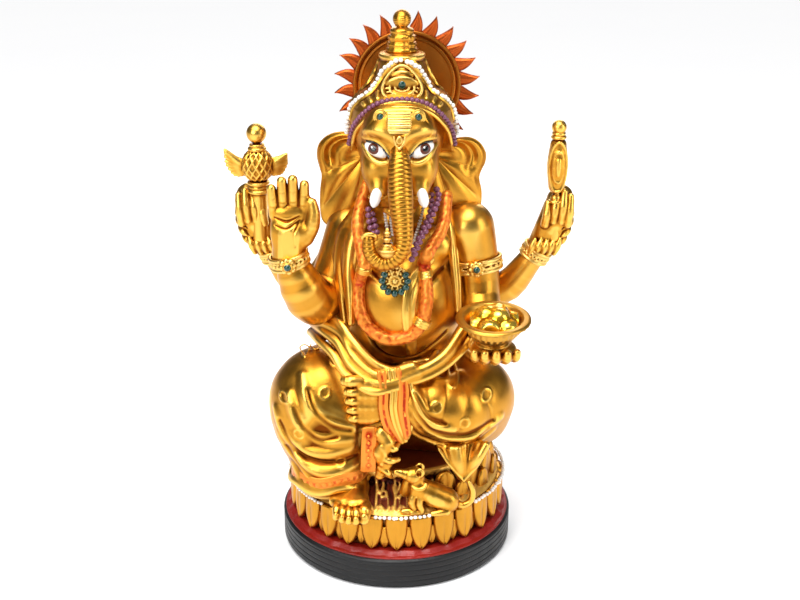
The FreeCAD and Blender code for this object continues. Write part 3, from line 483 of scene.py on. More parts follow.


# The second colour is the painted shade laid in hollows; edge is the painted highlight colour for proud
# parts.
def painted(name, colour, shade_colour, metallic, rough, grain=0.12, edge=None, coat=0.0, speckle=None):
    """Paint over cast resin: darker painted shade in hollows, brighter painted highlight on proud edges,
    uneven gloss.
    """
    material, nodes, links, shader = new_material(name)
    hollow = nodes.new("ShaderNodeAttribute")
    hollow.attribute_name = "crease"
    cloud = noise(nodes, links, CLOUD_SCALE, 4.0)
    mottled = blend_colours(nodes, links, remap(nodes, links, cloud, 0.35, 0.65, 0.0, 1.0),
                            tuple(c * CLOUD_SHADE for c in colour), colour)
    if speckle:
        spots = remap(nodes, links, noise(nodes, links, SPECKLE_SCALE, 3.0), 0.54, 0.60, 0.0, 1.0)
        mottled = blend_colours(nodes, links, spots, mottled, speckle)
    # Painted highlight: proud parts lean towards the edge colour.
    proud = remap(nodes, links, hollow.outputs["Fac"], PROUD_FROM, PROUD_TO, 0.0, 1.0)
    edged = blend_colours(nodes, links, proud, mottled, edge or colour)
    # Painted shade: hollows lean towards the darker second colour.
    deep = remap(nodes, links, hollow.outputs["Fac"], HOLLOW_FROM, HOLLOW_TO, 0.0, 1.0)
    links.new(blend_colours(nodes, links, deep, shade_colour, edged), shader.inputs["Base Color"])
    shader.inputs["Metallic"].default_value = metallic
    shader.inputs["Coat Weight"].default_value = coat
    shader.inputs["Coat Roughness"].default_value = COAT_ROUGHNESS
    shader.inputs["Specular IOR Level"].default_value = SPECULAR_LEVEL
    gloss = remap(nodes, links, noise(nodes, links, GLOSS_SCALE, 5.0), 0.3, 0.7, rough * 0.85, rough * 1.2)
    links.new(gloss, shader.inputs["Roughness"])
    bump = nodes.new("ShaderNodeBump")
    bump.inputs["Strength"].default_value = grain
    bump.inputs["Distance"].default_value = GRAIN_HEIGHT
    links.new(noise(nodes, links, GRAIN_SCALE, 3.0), bump.inputs["Height"])
    links.new(bump.outputs["Normal"], shader.inputs["Normal"])
    return material


# In every material below, the second colour is painted shade for the hollows, and edge, where given, is a
# painted highlight for proud parts.
gold = painted("gold_paint", (0.60, 0.275, 0.030), (0.15, 0.035, 0.003), 1.0, 0.33, edge=(0.80, 0.48, 0.09))
pale_gold = painted("pale_gold_paint", (0.58, 0.30, 0.045), (0.16, 0.045, 0.005), 1.0, 0.35,
                    edge=(0.80, 0.52, 0.14))
disc_copper = painted("halo_gold_paint", (0.36, 0.12, 0.015), (0.14, 0.03, 0.004), 0.95, 0.40,
                      edge=(0.66, 0.30, 0.04))
ray_copper = painted("halo_ray_paint", (0.46, 0.085, 0.012), (0.15, 0.015, 0.003), 0.85, 0.38,
                     edge=(0.70, 0.26, 0.05))
orange = painted("orange_enamel", (0.52, 0.036, 0.003), (0.15, 0.005, 0.002), 0.55, 0.36,
                 edge=(0.76, 0.25, 0.03), speckle=(0.70, 0.17, 0.012))
red = painted("red_enamel", (0.26, 0.008, 0.004), (0.10, 0.003, 0.002), 0.1, 0.45, grain=0.6, coat=0.15)
black = painted("black_lacquer", (0.0045, 0.0045, 0.005), (0.002, 0.002, 0.002), 0.0, 0.42, grain=0.5)
white = painted("ivory_paint", (0.86, 0.84, 0.80), (0.45, 0.33, 0.2), 0.0, 0.25, grain=0.05, coat=0.4)
pearl = painted("white_pearl", (0.86, 0.82, 0.76), (0.5, 0.4, 0.3), 0.0, 0.22, grain=0.05, coat=0.6)
purple = painted("purple_bead", (0.19, 0.06, 0.11), (0.04, 0.008, 0.02), 0.15, 0.34, coat=0.3)
green = painted("green_gem", (0.002, 0.045, 0.032), (0.0, 0.01, 0.01), 0.1, 0.12, coat=0.8)
silver = painted("silver_bead", (0.72, 0.66, 0.58), (0.25, 0.2, 0.15), 0.3, 0.3)
sweet_gold = painted("yellow_sweet", (0.95, 0.50, 0.012), (0.50, 0.17, 0.004), 0.9, 0.22,
                     edge=(1.0, 0.80, 0.14), coat=0.5)
dark_gold = painted("dark_gold_paint", (0.30, 0.13, 0.03), (0.06, 0.015, 0.005), 0.9, 0.4)
# On the seat the edge colour is gold paint on the raised carving over a maroon ground; its darker second
# colour is painted shade.
maroon_gold = painted("seat_paint", (0.20, 0.035, 0.012), (0.035, 0.005, 0.003), 0.6, 0.38,
                      edge=(0.86, 0.50, 0.10))
iris = painted("eye_iris", (0.10, 0.022, 0.012), (0.02, 0.004, 0.003), 0.0, 0.3)
pupil = painted("eye_black", (0.006, 0.005, 0.005), (0.002, 0.002, 0.002), 0.0, 0.15, grain=0.02, coat=0.6)
felt = painted("felt_pad", (0.03, 0.03, 0.03), (0.01, 0.01, 0.01), 0.0, 0.9, grain=0.8)


# ---- base --------------------------------------------------------------------------------------
GROOVE = 0.35
PETAL_COUNT = 28
PETAL_SIDES = 13
PETAL_ROWS = 15
PLINTH_GROOVES = (4.0, 7.2, 10.6, 14.0)
FOOT_FROM, FOOT_TO = -40, -13


def build_plinth():
    """The black grooved plinth, the felt under it and the wavy red ring on it."""
    for piece_slot in bpy.data.objects["base_pad"].material_slots:
        piece_slot.material = felt
    radius = plinth_high[0]
    low, high = plinth_low[2], plinth_high[2]
    profile = [(radius - 1.6, 0), (radius, 0.8)]
    for z in PLINTH_GROOVES:
        profile += [(radius, z - 0.45), (radius - GROOVE, z), (radius, z + 0.45)]
    profile += [(radius, high - low - 1.3), (radius - 1.4, high - low)]
    mesh = lathe_mesh("black_plinth", (0, 0, low), rounded_profile(profile, 0.4), 192)
    add_piece("black_plinth", mesh, black, "black_plinth", "plinth")
    radius = disc_high[0]
    low, high = disc_low[2], disc_high[2]

    def wave(row, angle):
        return 0.45 * math.sin(angle * 34) + 0.2 * math.sin(angle * 57) if row > 8 else 0.0

    profile = [(radius - 0.4, 0), (radius - 0.4, 0.5), (radius - 0.9, 0.8), (radius - 2.2, 1.0),
               (radius - 3.0, 1.8),
               (radius - 4.6, high - low), (radius - 9.0, high - low)]
    mesh = lathe_mesh("red_ring", (0, 0, low), rounded_profile(profile, 0.4), 240, wave)
    add_piece("red_ring", mesh, red, "red_enamel", "red_base_disc")


def petal_mesh_points(width, height, bulge, point_share, crease_depth, back):
    """One petal in its own plane: x across, y towards the viewer is negative, z from base to tip."""
    points = []
    for layer in (0, 1):
        for i in range(PETAL_ROWS):
            v = i / (PETAL_ROWS - 1)
            if v < point_share:
                half = width / 2 * (0.94 + 0.06 * math.sin(math.pi * v / point_share))
            else:
                t = (v - point_share) / (1 - point_share)
                half = width / 2 * 0.94 * math.sqrt(max(1 - t ** 1.7, 0.0))
            half = max(half, 0.12)
            for j in range(PETAL_SIDES):
                u = 2 * j / (PETAL_SIDES - 1) - 1
                y = back
                if layer == 0:
                    swell = bulge * math.sqrt(max(1 - 0.86 * abs(u) ** 2.6, 0)) * (1 - 0.55 * v ** 3)
                    groove = crease_depth * math.exp(-(u * 7) ** 2) * min(1, 3 * v) * (0.5 + 0.5 * v)
                    veins = 0.12 * math.cos(9 * u) * v * (1 - v) * 4
                    y = -swell + groove - veins
                points.append((u * half, y, v * height))
    return points


def petal_ring(name, blank, placements, material, slot, *nodes):
    """Copies of one petal; each placement is (x, y, z, turn about Z, lean back, size, up or down)."""
    points, faces = [], []
    blank_faces = shell_faces(PETAL_ROWS, PETAL_SIDES)
    for x, y, z, turn, lean, size, flip in placements:
        base = len(points)
        ct, st = math.cos(turn), math.sin(turn)
        cl, sl = math.cos(lean), math.sin(lean)
        for px, py, pz in blank:
            px, py, pz = px * size, py * size, pz * size * flip
            py, pz = cl * py - sl * pz, sl * py + cl * pz
            points.append((x + ct * px - st * py, y + st * px + ct * py, z + pz))
        faces += [tuple(base + k for k in f[::flip]) for f in blank_faces]
    add_piece(name, plain_mesh(name, points, faces), material, slot, *nodes)


def build_lower_tier():
    """The drum with its large hanging petals and the small ones between them."""
    radius = drum_high[0]
    height = drum_high[2] - drum_low[2]
    profile = [(radius - 0.8, 0), (radius - 0.8, height - 1.2), (radius - 1.8, height)]
    mesh = lathe_mesh("lotus_drum", (0, 0, drum_low[2]), rounded_profile(profile, 0.6), 160)
    add_piece("lotus_drum", mesh, dark_gold, "gold_paint", "lower_drum")
    rng = random.Random(5)
    width = math.tau * radius / PETAL_COUNT
    blank = petal_mesh_points(width * 0.94, height - 0.6, 3.2, 0.40, 1.5, 1.0)
    rings = []
    for i in range(PETAL_COUNT):
        a = math.tau * i / PETAL_COUNT
        reach = radius + 0.4
        rings.append((reach * math.sin(a), -reach * math.cos(a), drum_high[2], a + rng.uniform(-0.02, 0.02),
                      -0.10, rng.uniform(0.97, 1.02), -1))
    petal_ring("hanging_petals", blank, rings, gold, "gold_paint", "lower_petals")
    blank = petal_mesh_points(width * 0.52, height * 0.62, 1.7, 0.35, 0.6, 0.8)
    rings = []
    for i in range(PETAL_COUNT):
        a = math.tau * (i + 0.5) / PETAL_COUNT
        reach = radius - 0.1
        rings.append((reach * math.sin(a), -reach * math.cos(a), drum_low[2] + height * 0.66, a, -0.02,
                      rng.uniform(0.95, 1.05), -1))
    petal_ring("between_petals", blank, rings, gold, "gold_paint", "small_petals")


def build_base_pearls():
    """The glued pearls round the rim, left out under the foot and the mouse."""
    radius = (pearl_high[2] - pearl_low[2]) / 2
    ring = pearl_high[0] - radius
    rng = random.Random(3)
    spots = []
    a = 0.0
    while a < math.tau - 0.02:
        x, y = ring * math.sin(a), -ring * math.cos(a)
        under_foot = FOOT_FROM < x < FOOT_TO and y < 0
        under_mouse = mouse_low[0] + 20 < x < mouse_high[0] - 1 and y < 0
        if not under_foot and not under_mouse:
            spots.append((x + rng.uniform(-0.25, 0.25), y + rng.uniform(-0.25, 0.25),
                          pearl_low[2] + radius + rng.uniform(-0.1, 0.25)))
        a += (2 * radius + rng.uniform(0.0, 0.45)) / ring
    mesh = bead_mesh("rim_pearls", spots, radius, 11, 0.14)
    add_piece("rim_pearls", mesh, pearl, "white_pearl", "base_pearls")


def build_seat():
    """The carved drum under the figure, with a scrolled panel between the feet."""
    wide, deep = seat_high[0], seat_high[1]
    clay = Clay((-wide - 12, -deep - 18, ledge[2] - 1), (wide + 12, deep + 14, seat[2] + 1), 0.7)
    x, y, z = np.ix_(*(axis.astype(np.float32) for axis in clay.axes))
    around = (np.sqrt((x / wide) ** 2 + (y / deep) ** 2) - 1) * deep
    waist = 2.2 * np.cos((z - ledge[2]) / (seat[2] - ledge[2]) * math.tau)
    skirt = (np.sqrt(x ** 2 + y ** 2) - 60.0 + 2.3 * (z - ledge[2])) * 0.4
    body = np.minimum(around + 1.5 - waist * 0.5, skirt)
    slab = np.abs(z - (ledge[2] + seat[2]) / 2) - (seat[2] - ledge[2]) / 2
    clay.field = np.maximum(body, slab).astype(np.float32)
    middle = (0, 0, ledge[2])
    for x0, sign in ((-7.5, -1), (1.0, 1)):
        spiral = []
        for k in range(14):
            a = k * 0.62
            reach = 4.6 * (1 - k / 17)
            spiral.append((x0 + sign * reach * math.cos(a), 8.0 + reach * math.sin(a)))
        clay.ridge(middle, spiral, 0.9, 0.8, 0.2)
    for x0 in (-11.5, -1.2, 8.5):
        clay.ridge(middle, [(x0, 0.8), (x0 + 0.8, 8), (x0 - 0.4, 15)], 0.9, 0.8, 0.3)
        clay.ridge(middle, [(x0 + 2.4, 0.8), (x0 + 3.0, 5), (x0 + 5.0, 7.5), (x0 + 6.8, 5),
                            (x0 + 7.2, 0.8)], 0.7, 0.6, 0.3)
    for x0 in range(-42, 46, 6):
        clay.ridge(middle, [(x0 - 2.4, 3.5), (x0, 1.0), (x0 + 2.4, 3.5)], 0.9, 0.6, 0.4)
        clay.ridge(middle, [(x0 - 2.6, 13.0), (x0, 15.4), (x0 + 2.6, 13.0)], 0.9, 0.6, 0.4)
    for x0 in range(-45, 48, 9):
        clay.ridge(middle, [(x0 - 2.0, 9.6), (x0, 6.4), (x0 + 2.0, 9.6), (x0, 12.0)], 0.9, 0.6, 0.4)
    cast("carved_seat", clay, maroon_gold, "gold_paint", "upper_drum")
    blank = petal_mesh_points(15.5, 19.0, 3.2, 0.45, 0.9, 0.9)
    rings = []
    for count, grow, lean, size in ((18, 2.0, 0.10, 1.0), (18, 6.0, 0.02, 0.62)):
        for i in range(count):
            a = math.tau * (i + (0.5 if grow < 3 else 0.0)) / count
            x0, y0 = (wide + grow) * math.sin(a), -(deep + grow * 1.5) * math.cos(a)
            front_gap = y0 < 0 and -38 < x0 < (6 if grow < 3 else 16)
            if front_gap:
                continue
            turn = math.atan2(x0 / wide ** 2, -y0 / deep ** 2)
            rings.append((x0, y0, ledge[2], turn, lean, size * (0.98 + 0.04 * math.cos(5 * a)), 1))
    petal_ring("rising_petals", blank, rings, gold, "gold_paint", "upper_petals")


# ---- legs and cloth ------------------------------------------------------------------------------
FOLD_SOFT, FOLD_LIFT = 4.0, -0.6
CREASE_SOFT, CREASE_LIFT = 2.2, 0.3
MARK_RADIUS, MARK_THICK = 2.6, 0.62


def drape(clay, folds, creases, crease_radius, marks):
    """Lays raised folds, cut creases and ring marks on the cloth of a leg."""
    for points, radius in folds:
        clay.ridge(seat, points, radius, FOLD_SOFT, FOLD_LIFT)
    for points in creases:
        clay.ridge(seat, points, crease_radius, CREASE_SOFT, CREASE_LIFT, cut=True)
    for spot in marks:
        clay.ring_mark(seat, spot, MARK_RADIUS, MARK_THICK)


def build_hips():
    """The gathered cloth round the hips and over the seat."""
    clay = Clay(seat + (-50, -24, -1), seat + (54, 47, 56), 0.9)
    clay.ball(seat + (2, 11, 20), (45, 33, 30))
    clay.ball(seat + (-24, -2, 20), (22, 22, 26), 10)
    clay.ball(seat + (28, -2, 18), (22, 22, 24), 10)
    for angle in range(-70, 80, 14):
        a = math.radians(angle)
        line = []
        for k in range(6):
            lean = 0.25 + k * 0.26
            line.append(seat + (2 + 45 * math.sin(a) * math.sin(lean), 11 + 33 * math.cos(a) * math.sin(lean),
                                20 + 30 * math.cos(lean)))
        clay.rope(line, [1.4, 2.2, 2.8, 3.0, 2.8, 2.2], 5.0)
    for z, r in ((1.5, 3.0), (6.0, 2.2)):
        line = [seat + (2 + 42 * math.sin(a), 11 + 31 * math.cos(a), z + 0.8 * math.sin(9 * a))
                for a in np.linspace(-1.7, 1.7, 30)]
        clay.rope(line, r, 3.0)
    clay.above(seat[2])
    cast("hip_cloth", clay, gold, "gold_paint", "hips_drape")


def build_right_leg():
    """The bent right leg under its cloth: thigh out to the knee, then down to a flared hem."""
    clay = Clay(seat + (-72, -63, -10), seat + (-2, 18, 68), 0.6)
    clay.rope(points_from(seat, (-12, 2, 36), (-28, -10, 39), (-40, -20, 40), (-44, -24, 34)),
              [22, 26, 25, 24])
    clay.rope(points_from(seat, (-44, -22, 36), (-43, -26, 24), (-40, -30, 10), (-37, -34, -1)),
              [25, 23.5, 20.5, 19.5], 8)
    clay.ball(seat + (-52, -14, 20), (14, 18, 22), 10)
    clay.ball(seat + (-28, -38, 22), (13, 12, 24), 10)
    folds = (
        (((-65, 38), (-60, 26), (-50, 19), (-38, 17), (-22, 21)), 2.3),
        (((-64, 26), (-58, 16), (-47, 8), (-34, 6), (-20, 10)), 2.2),
        (((-50, 57), (-47, 46), (-40, 38), (-30, 33), (-20, 30)), 2.3),
        (((-57, 48), (-54, 38), (-46, 29), (-36, 25), (-22, 25)), 1.9),
        (((-54, 14), (-46, 4), (-34, 1), (-20, 4)), 1.8),
        (((-40, 74), (-30, 64), (-25, 53), (-21, 44)), 2.4),
        (((-33, 62), (-27, 52), (-22, 40)), 1.7),
        (((-56, 6), (-50, -1), (-40, -3)), 1.6),
    )
    creases = (
        ((-63, 33), (-57, 21), (-47, 13.5), (-34, 12), (-21, 15)),
        ((-55, 43), (-50, 33), (-42, 26), (-32, 27)),
        ((-47, 52), (-43, 42), (-35, 34), (-24, 31)),
        ((-60, 18), (-52, 8), (-42, 3), (-27, 4)),
    )
    marks = ((-50, 66), (-33, 64), (-38, 50), (-60, 46), (-44, 68), (-52, 28), (-30, 12))
    drape(clay, folds, creases, 1.2, marks)
    flare = [seat + (-37 + 21.5 * math.sin(a), -33 - 20.5 * math.cos(a), -4.5 + 1.2 * math.sin(5 * a))
             for a in np.linspace(-2.3, 1.35, 26)]
    clay.rope(flare, 2.0, 3.0)
    clay.ball(seat + (-36, -33, -10), (17, 16, 5.5), 1.5, cut=True)
    clay.ripple(0.25, 9.0, 1)
    cast("right_leg_cloth", clay, gold, "gold_paint", "right_leg_drape")
    hem = Clay(seat + (-64, -60, -9), seat + (-8, -8, 12), 0.5)
    band = [seat + (-36 + 21.0 * math.sin(a), -33 - 20.8 * math.cos(a),
                    1.0 + 2.4 * math.sin(a * 0.8) + 0.8 * math.sin(5 * a))
            for a in np.linspace(-2.2, 1.3, 40)]
    for rise in (-1.6, -0.5, 0.6, 1.7):
        hem.rope([p + (0, 0, rise) for p in band], 1.25, 0.6)
    for rise in (-3.1, 3.2):
        hem.rope([p + (0, 0, rise) for p in band], 0.85, 0.3)
    for k in range(1, 39, 2):
        hem.ball(band[k] + (0, -0.6, 0), 1.3, 0.5)
    cast("hem_border", hem, orange, "orange_enamel", "right_hem_band")


def build_left_leg():
    """The folded left leg: a broad knee to the side with its foot laid across the lap."""
    clay = Clay(seat + (-12, -62, 4), seat + (66, 20, 66), 0.6)
    clay.rope(points_from(seat, (12, 4, 38), (30, -6, 40), (42, -18, 36)), [20, 24, 22.5])
    clay.rope(points_from(seat, (42, -18, 34), (33, -31, 35), (18, -38, 40), (6, -42, 44)),
              [22, 21, 17.5, 13], 6)
    clay.ball(seat + (40, -16, 20), (20, 18, 12), 8)
    folds = (
        (((3, 63), (8, 52), (14, 40), (24, 30), (40, 27), (56, 33)), 2.6),
        (((8, 56), (13, 45), (20, 37), (30, 33)), 2.0),
        (((4, 34), (12, 22), (24, 15), (38, 17), (52, 26)), 2.6),
        (((2, 45), (8, 34), (16, 24), (28, 18)), 1.8),
        (((4, 66), (18, 66), (30, 64), (42, 60)), 1.7),
        (((10, 60), (22, 56), (34, 56)), 1.2),
    )
    creases = (
        ((6, 55), (12, 42), (21, 32), (36, 29), (52, 33)),
        ((5, 40), (12, 28), (24, 21), (38, 22), (50, 29)),
        ((10, 54), (17, 43), (26, 37)),
    )
    marks = ((30, 68), (19, 62), (30, 56), (21, 46), (48, 47), (36, 36), (23, 20), (50, 60))
    drape(clay, folds, creases, 1.1, marks)
    clay.ripple(0.25, 9.0, 2)
    cast("left_leg_cloth", clay, gold, "gold_paint", "left_leg_drape")


def build_feet():
    """The right foot on the ledge and the left foot laid across the lap."""
    clay = Clay(ledge + (-44, -80, -6), ledge + (-4, -24, 22), 0.45)
    ankle = ledge + (-25.5, -40, 13.5)
    clay.rope([ankle + (1, 2, 8), ankle + (1, 0, 0), ankle + (1.5, -1, -5)], [9.5, 8.2, 8.6])
    for dx, length, r in ((5.5, 17, 5.0), (1.5, 18, 5.2), (-2.5, 16, 4.8), (-6, 13, 4.3)):
        clay.rope([ankle + (dx * 0.7, -2, -4.5), ankle + (dx, -length * 0.6, -6),
                   ankle + (dx * 1.25, -length, -7)],
                  [6.0, r, r * 0.86], 3)
    toes = ((8.6, -18.5, 3.5), (4.2, -20.5, 2.5), (0.4, -20.2, 2.4), (-3.2, -18.8, 2.3), (-6.6, -16.4, 2.1))
    for dx, dy, r in toes:
        base = ankle + (dx, dy, -7.2)
        clay.rope([base, base + (-0.2, -4.5, -0.4), base + (-0.3, -7.6, -3.4)], [r, r * 1.02, r * 0.86], 0.9)
        clay.ball(base + (-0.3, -8.6, -1.6), (r * 0.62, r * 0.5, r * 0.7), 0.3)
    clay.above(pearl_low[2] - 4.5)
    cast("right_foot_cast", clay, gold, "gold_paint", "right_foot")
    clay = Clay(seat + (-33, -60, 30), seat + (2, -38, 66), 0.4)
    sole = seat + (-12, -49, 48)
    for dz, r in ((9.5, 4.6), (3.5, 5.0), (-3, 5.0), (-9, 4.6)):
        clay.rope([sole + (6, 1.5, dz * 0.8), sole + (-1, 0, dz), sole + (-6.5, -0.2, dz * 1.05)],
                  [4.5, r, r * 0.9], 2.5)
    toes = ((11.8, 8.0, 3.1), (5.6, 7.0, 2.6), (0.4, 6.4, 2.5), (-4.8, 5.8, 2.4), (-9.8, 5.0, 2.3))
    for dz, length, r in toes:
        base = sole + (-7.0, -1.0, dz)
        clay.rope([base, base + (-length * 0.6, -1.2, 0.3), base + (-length, -0.2, 0)],
                  [r, r * 1.05, r * 0.9], 0.7)
        clay.ball(base + (-length - 0.6, -1.4, 0), (r * 0.5, r * 0.5, r * 0.62), 0.3)
    cast("left_foot_cast", clay, gold, "gold_paint", "left_foot")


def build_leg_trim():
    """The orange borders and pleats where the cloth gathers at the left ankle, and the loose ends."""
    clay = Clay(seat + (-16, -62, 4), seat + (18, -34, 68), 0.45)
    borders = Clay(seat + (-16, -62, 4), seat + (18, -34, 68), 0.45)
    rows = (
        (((-6, 65), (-5, 56), (-5, 46), (-3, 36), (2, 26)), 1.5, borders, 0.0),
        (((-3.6, 65), (-2.4, 56), (-2.4, 46), (0, 36), (5, 25)), 1.5, borders, 0.0),
        (((-1, 66), (0.4, 56), (0.2, 46), (2.0, 36), (6, 24)), 1.3, clay, 0.0),
        (((1.4, 66), (2.8, 56), (2.6, 46), (4.6, 35), (8, 25)), 1.3, clay, 0.2),
        (((4.0, 66), (5.4, 56), (5.2, 46), (6.6, 36), (8, 28)), 1.9, borders, 0.4),
        (((6.6, 65), (8.2, 55), (8.2, 46), (9.0, 37), (9.5, 30)), 1.7, borders, 0.4),
        (((9.4, 64), (11.0, 54), (11.0, 45), (11.4, 37), (9, 27)), 1.3, clay, 0.0),
    )
    for points, radius, target, lift in rows:
        line = []
        for x, z in points:
            y = -50.5 - 5.0 * math.sin(math.pi * (66 - z) / 46) - lift + 0.20 * max(x, 0)
            line.append(seat + (x - 3.0, y, z))
        target.rope(line, radius * 0.9, 0.8)
    hang = points_from(seat, (-14.0, -52, 33), (-14.4, -53.5, 27), (-14.8, -54, 20), (-15.0, -54, 13),
                       (-15.2, -53, 8.5))
    strip = Clay(seat + (-22, -60, -8), seat + (-7, -46, 36), 0.45)
    for dx in (-2.0, -0.7, 0.7, 2.0):
        strip.rope([p + (dx, 0, 0) for p in hang], 1.2, 0.4)
    for dx in (-3.4, 3.4):
        strip.rope([p + (dx, -0.3, 0) for p in hang], 0.8, 0.2)
    for k in range(5):
        strip.ball(seat + (-14.8, -55.2, 30 - 4.4 * k), 0.8, 0.2)
    cast("ankle_borders", borders, orange, "orange_enamel", "ankle_bands")
    cast("hanging_border", strip, orange, "orange_enamel", "hanging_border_band")
    clay.rope(points_from(seat, (-8, -53, 31), (-5, -54, 26), (-8, -54, 20), (-6, -53, 13), (-9, -52, 5)),
              [3.6, 4.4, 4.8, 4.2, 2.6], 1.5)
    clay.rope(points_from(seat, (-9, -54, 28), (-2, -56, 23), (1, -53, 24)), [1.6, 2.2, 1.2], 1.0)
    clay.rope(points_from(seat, (-10, -55, 20), (-4, -58, 17), (1, -55, 16)), [1.4, 2.0, 1.4], 1.0)
    clay.rope(points_from(seat, (-9, -54, 11), (-5, -56, 9), (-3, -54, 5)), [1.4, 1.8, 1.2], 1.0)
    clay.rope(points_from(seat, (-8, -57, 25), (-6, -58.2, 20), (-8, -57, 14)), 0.9, 0.8)
    cast("cloth_knot", clay, gold, "gold_paint", "front_pleat")
    tail = Clay(seat + (16, -56, -14), seat + (54, -34, 26), 0.5)
    for k in range(9):
        t = k / 8
        top = seat + (24 + 24 * t, -44 + 3 * math.cos(t * 9), 17 + 3 * t)
        tip = seat + (32 + 8 * t, -47, 6 - 6 * math.sin(math.pi * min(t * 1.1, 1)))
        tail.rope([top, (top + tip) / 2 + (0, -2, 0), tip], [2.4, 2.2, 1.3], 1.6)
    for edge in (((23, -45, 17), (29, -49, 9), (36.5, -49, 0)),
                 ((49, -43, 20), (45, -47, 10), (36.5, -49, 0))):
        tail.rope(points_from(seat, *edge), 0.9, 0.8)
    cast("cloth_end", tail, gold, "gold_paint", "cloth_tail")


# ---- body --------------------------------------------------------------------------------------
def build_torso():
    """The bare belly and chest, with the shawl folds over the shoulders and down the back."""
    clay = Clay(belly + (-48, -36, -50), belly + (52, 44, 88), 0.65)
    clay.ball(belly, (31, 33, 34))
    clay.ball(belly + (0, 4, -14), (33, 30, 26), 8)
    clay.ball(belly + (1.5, 13, 33), (35, 19, 19), 10)
    clay.ball(belly + (1.5, 16, 8), (33, 22, 34), 10)
    clay.ball(belly + (-11, -9, 30), (13, 9, 11), 6)
    clay.ball(belly + (15, -9, 30), (13, 9, 11), 6)
    clay.rope([belly + (1, 12, 38), belly + (1, 12, 54), belly + (0, 9, 70), belly + (0, 7, 78)],
              [19, 17, 16, 15], 6)
    clay.ball(belly + (1.0, -35, -4), 1.5, 1.5, cut=True)
    clay.ridge(belly, [(-24, 8), (-12, -22), (6, -27), (24, -14)], 0.7, 1.5, -0.2, cut=True)
    for points in (((-16, 20), (-6, 15), (0, 19)), ((4, 19), (12, 15), (22, 20))):
        clay.ridge(belly, points, 0.8, 2.5, 0.2, cut=True)
    back_folds = ((-30, -14), (-20, -6), (-10, -2), (1, 0), (12, -2), (22, -6), (32, -12))
    for x, drop in back_folds:
        line = [(x * 0.75, 44), (x * 0.9, 28 + drop * 0.3), (x * 1.05, 8), (x, -14), (x * 0.9, -36)]
        clay.ridge(belly, line, 1.9, 4.0, -0.4, back=True)
    for z in (38, 30, 22):
        clay.ridge(belly, [(-30, z + 8), (-12, z - 2), (1, z - 6), (14, z - 2), (32, z + 8)], 1.6, 3.5,
                   -0.2, back=True)
    clay.ripple(0.2, 10.0, 4)
    cast("torso_cast", clay, gold, "gold_paint", "torso")
    return clay


SHAWL_FOLDS = (
    (-1, (4.2, 4.6, 4.0, 3.2, 2.0), 3.0, (
        ((-22, 8, 46), (-31, 0, 38), (-37, -4, 22), (-36, -8, 4), (-33, -14, -14)),
        ((-21, 2, 47), (-28, -6, 38), (-32, -11, 22), (-31, -16, 6), (-29, -21, -10)),
        ((-19, -4, 46), (-24.5, -12, 36), (-27, -18, 22), (-26.5, -23, 6), (-26, -27, -6)))),
    (1, (2.6, 2.6, 2.2, 1.8, 1.2), 1.6, (
        ((24, 10, 48), (27, 2, 40), (29, -6, 24), (30.5, -10, 8), (31, -14, -8)),
        ((23, 4, 49), (25.5, -6, 40), (27, -14, 28), (28.5, -18, 12), (29.5, -20, -2)))),
)


def build_sashes(torso):
    """The cloth gathered under the belly and the pleats that cross it."""
    clay = Clay(belly + (-60, -50, -50), belly + (50, 40, 6), 0.5)
    runs = (
        (((-52, 6, -16), (-42, -14, -11), (-31, -26, -13), (-25, -34, -22), (-14, -40, -30), (-4, -40, -29),
          (6, -39, -26)), 2.6),
        (((-50, 8, -19), (-42, -16, -15), (-33, -28, -18), (-26, -36, -27), (-14, -42, -34), (-3, -42, -33),
          (8, -40, -29)), 2.6),
        (((-50, 4, -24), (-44, -18, -20), (-36, -30, -23), (-28, -38, -32), (-15, -44, -38),
          (-2, -43, -36)), 2.4),
        (((-44, -6, -10), (-33, -22, -8), (-25, -31, -15), (-15, -37, -24), (-5, -39, -28), (4, -38, -26)),
         2.2),
        (((-6, -39, -31), (8, -39, -29), (22, -33, -23), (33, -21, -12), (41, -4, -4)), 3.4),
        (((-4, -40, -34.5), (10, -40, -32.5), (24, -34, -27), (36, -23, -18), (44, -4, -10)), 2.4),
    )
    for points, radius in runs:
        clay.rope(points_from(belly, *points), radius, 1.6)
    clay.rope(points_from(belly, (-48, 2, -14), (-38, -18, -11), (-29, -30, -17), (-22, -37, -27)), 0.8, 0.8)
    cast("waist_cloth", clay, gold, "gold_paint", "waist_sash")
    pleats = Clay(belly + (-6, -44, -34), belly + (30, 10, 50), 0.45)
    for shift, radius in ((-2.2, 1.1), (0.0, 1.3), (2.4, 1.2), (4.4, 0.9)):
        line = [(14 + shift * 0.6, 26), (8 + shift, 20), (4 + shift * 0.9, 12), (3 + shift * 0.8, 0),
                (4 + shift * 0.7, -12), (5 + shift * 0.5, -24)]
        pleats.rope(torso.on_face(belly, line, 0.4), radius, 0.9)
    cast("cross_pleats", pleats, gold, "gold_paint", "chest_sash")
    ends = Clay(belly + (-56, -34, -44), belly + (62, 34, 58), 0.6)
    for side, radii, forward, folds in SHAWL_FOLDS:
        for line in folds:
            ends.rope(points_from(belly, *line), radii, 3.2)
            ends.rope(points_from(belly + (0.5 * side, -forward, 0.6), *line), 0.8, 1.4)
    cast("shawl", ends, gold, "gold_paint", "shawl_ends")


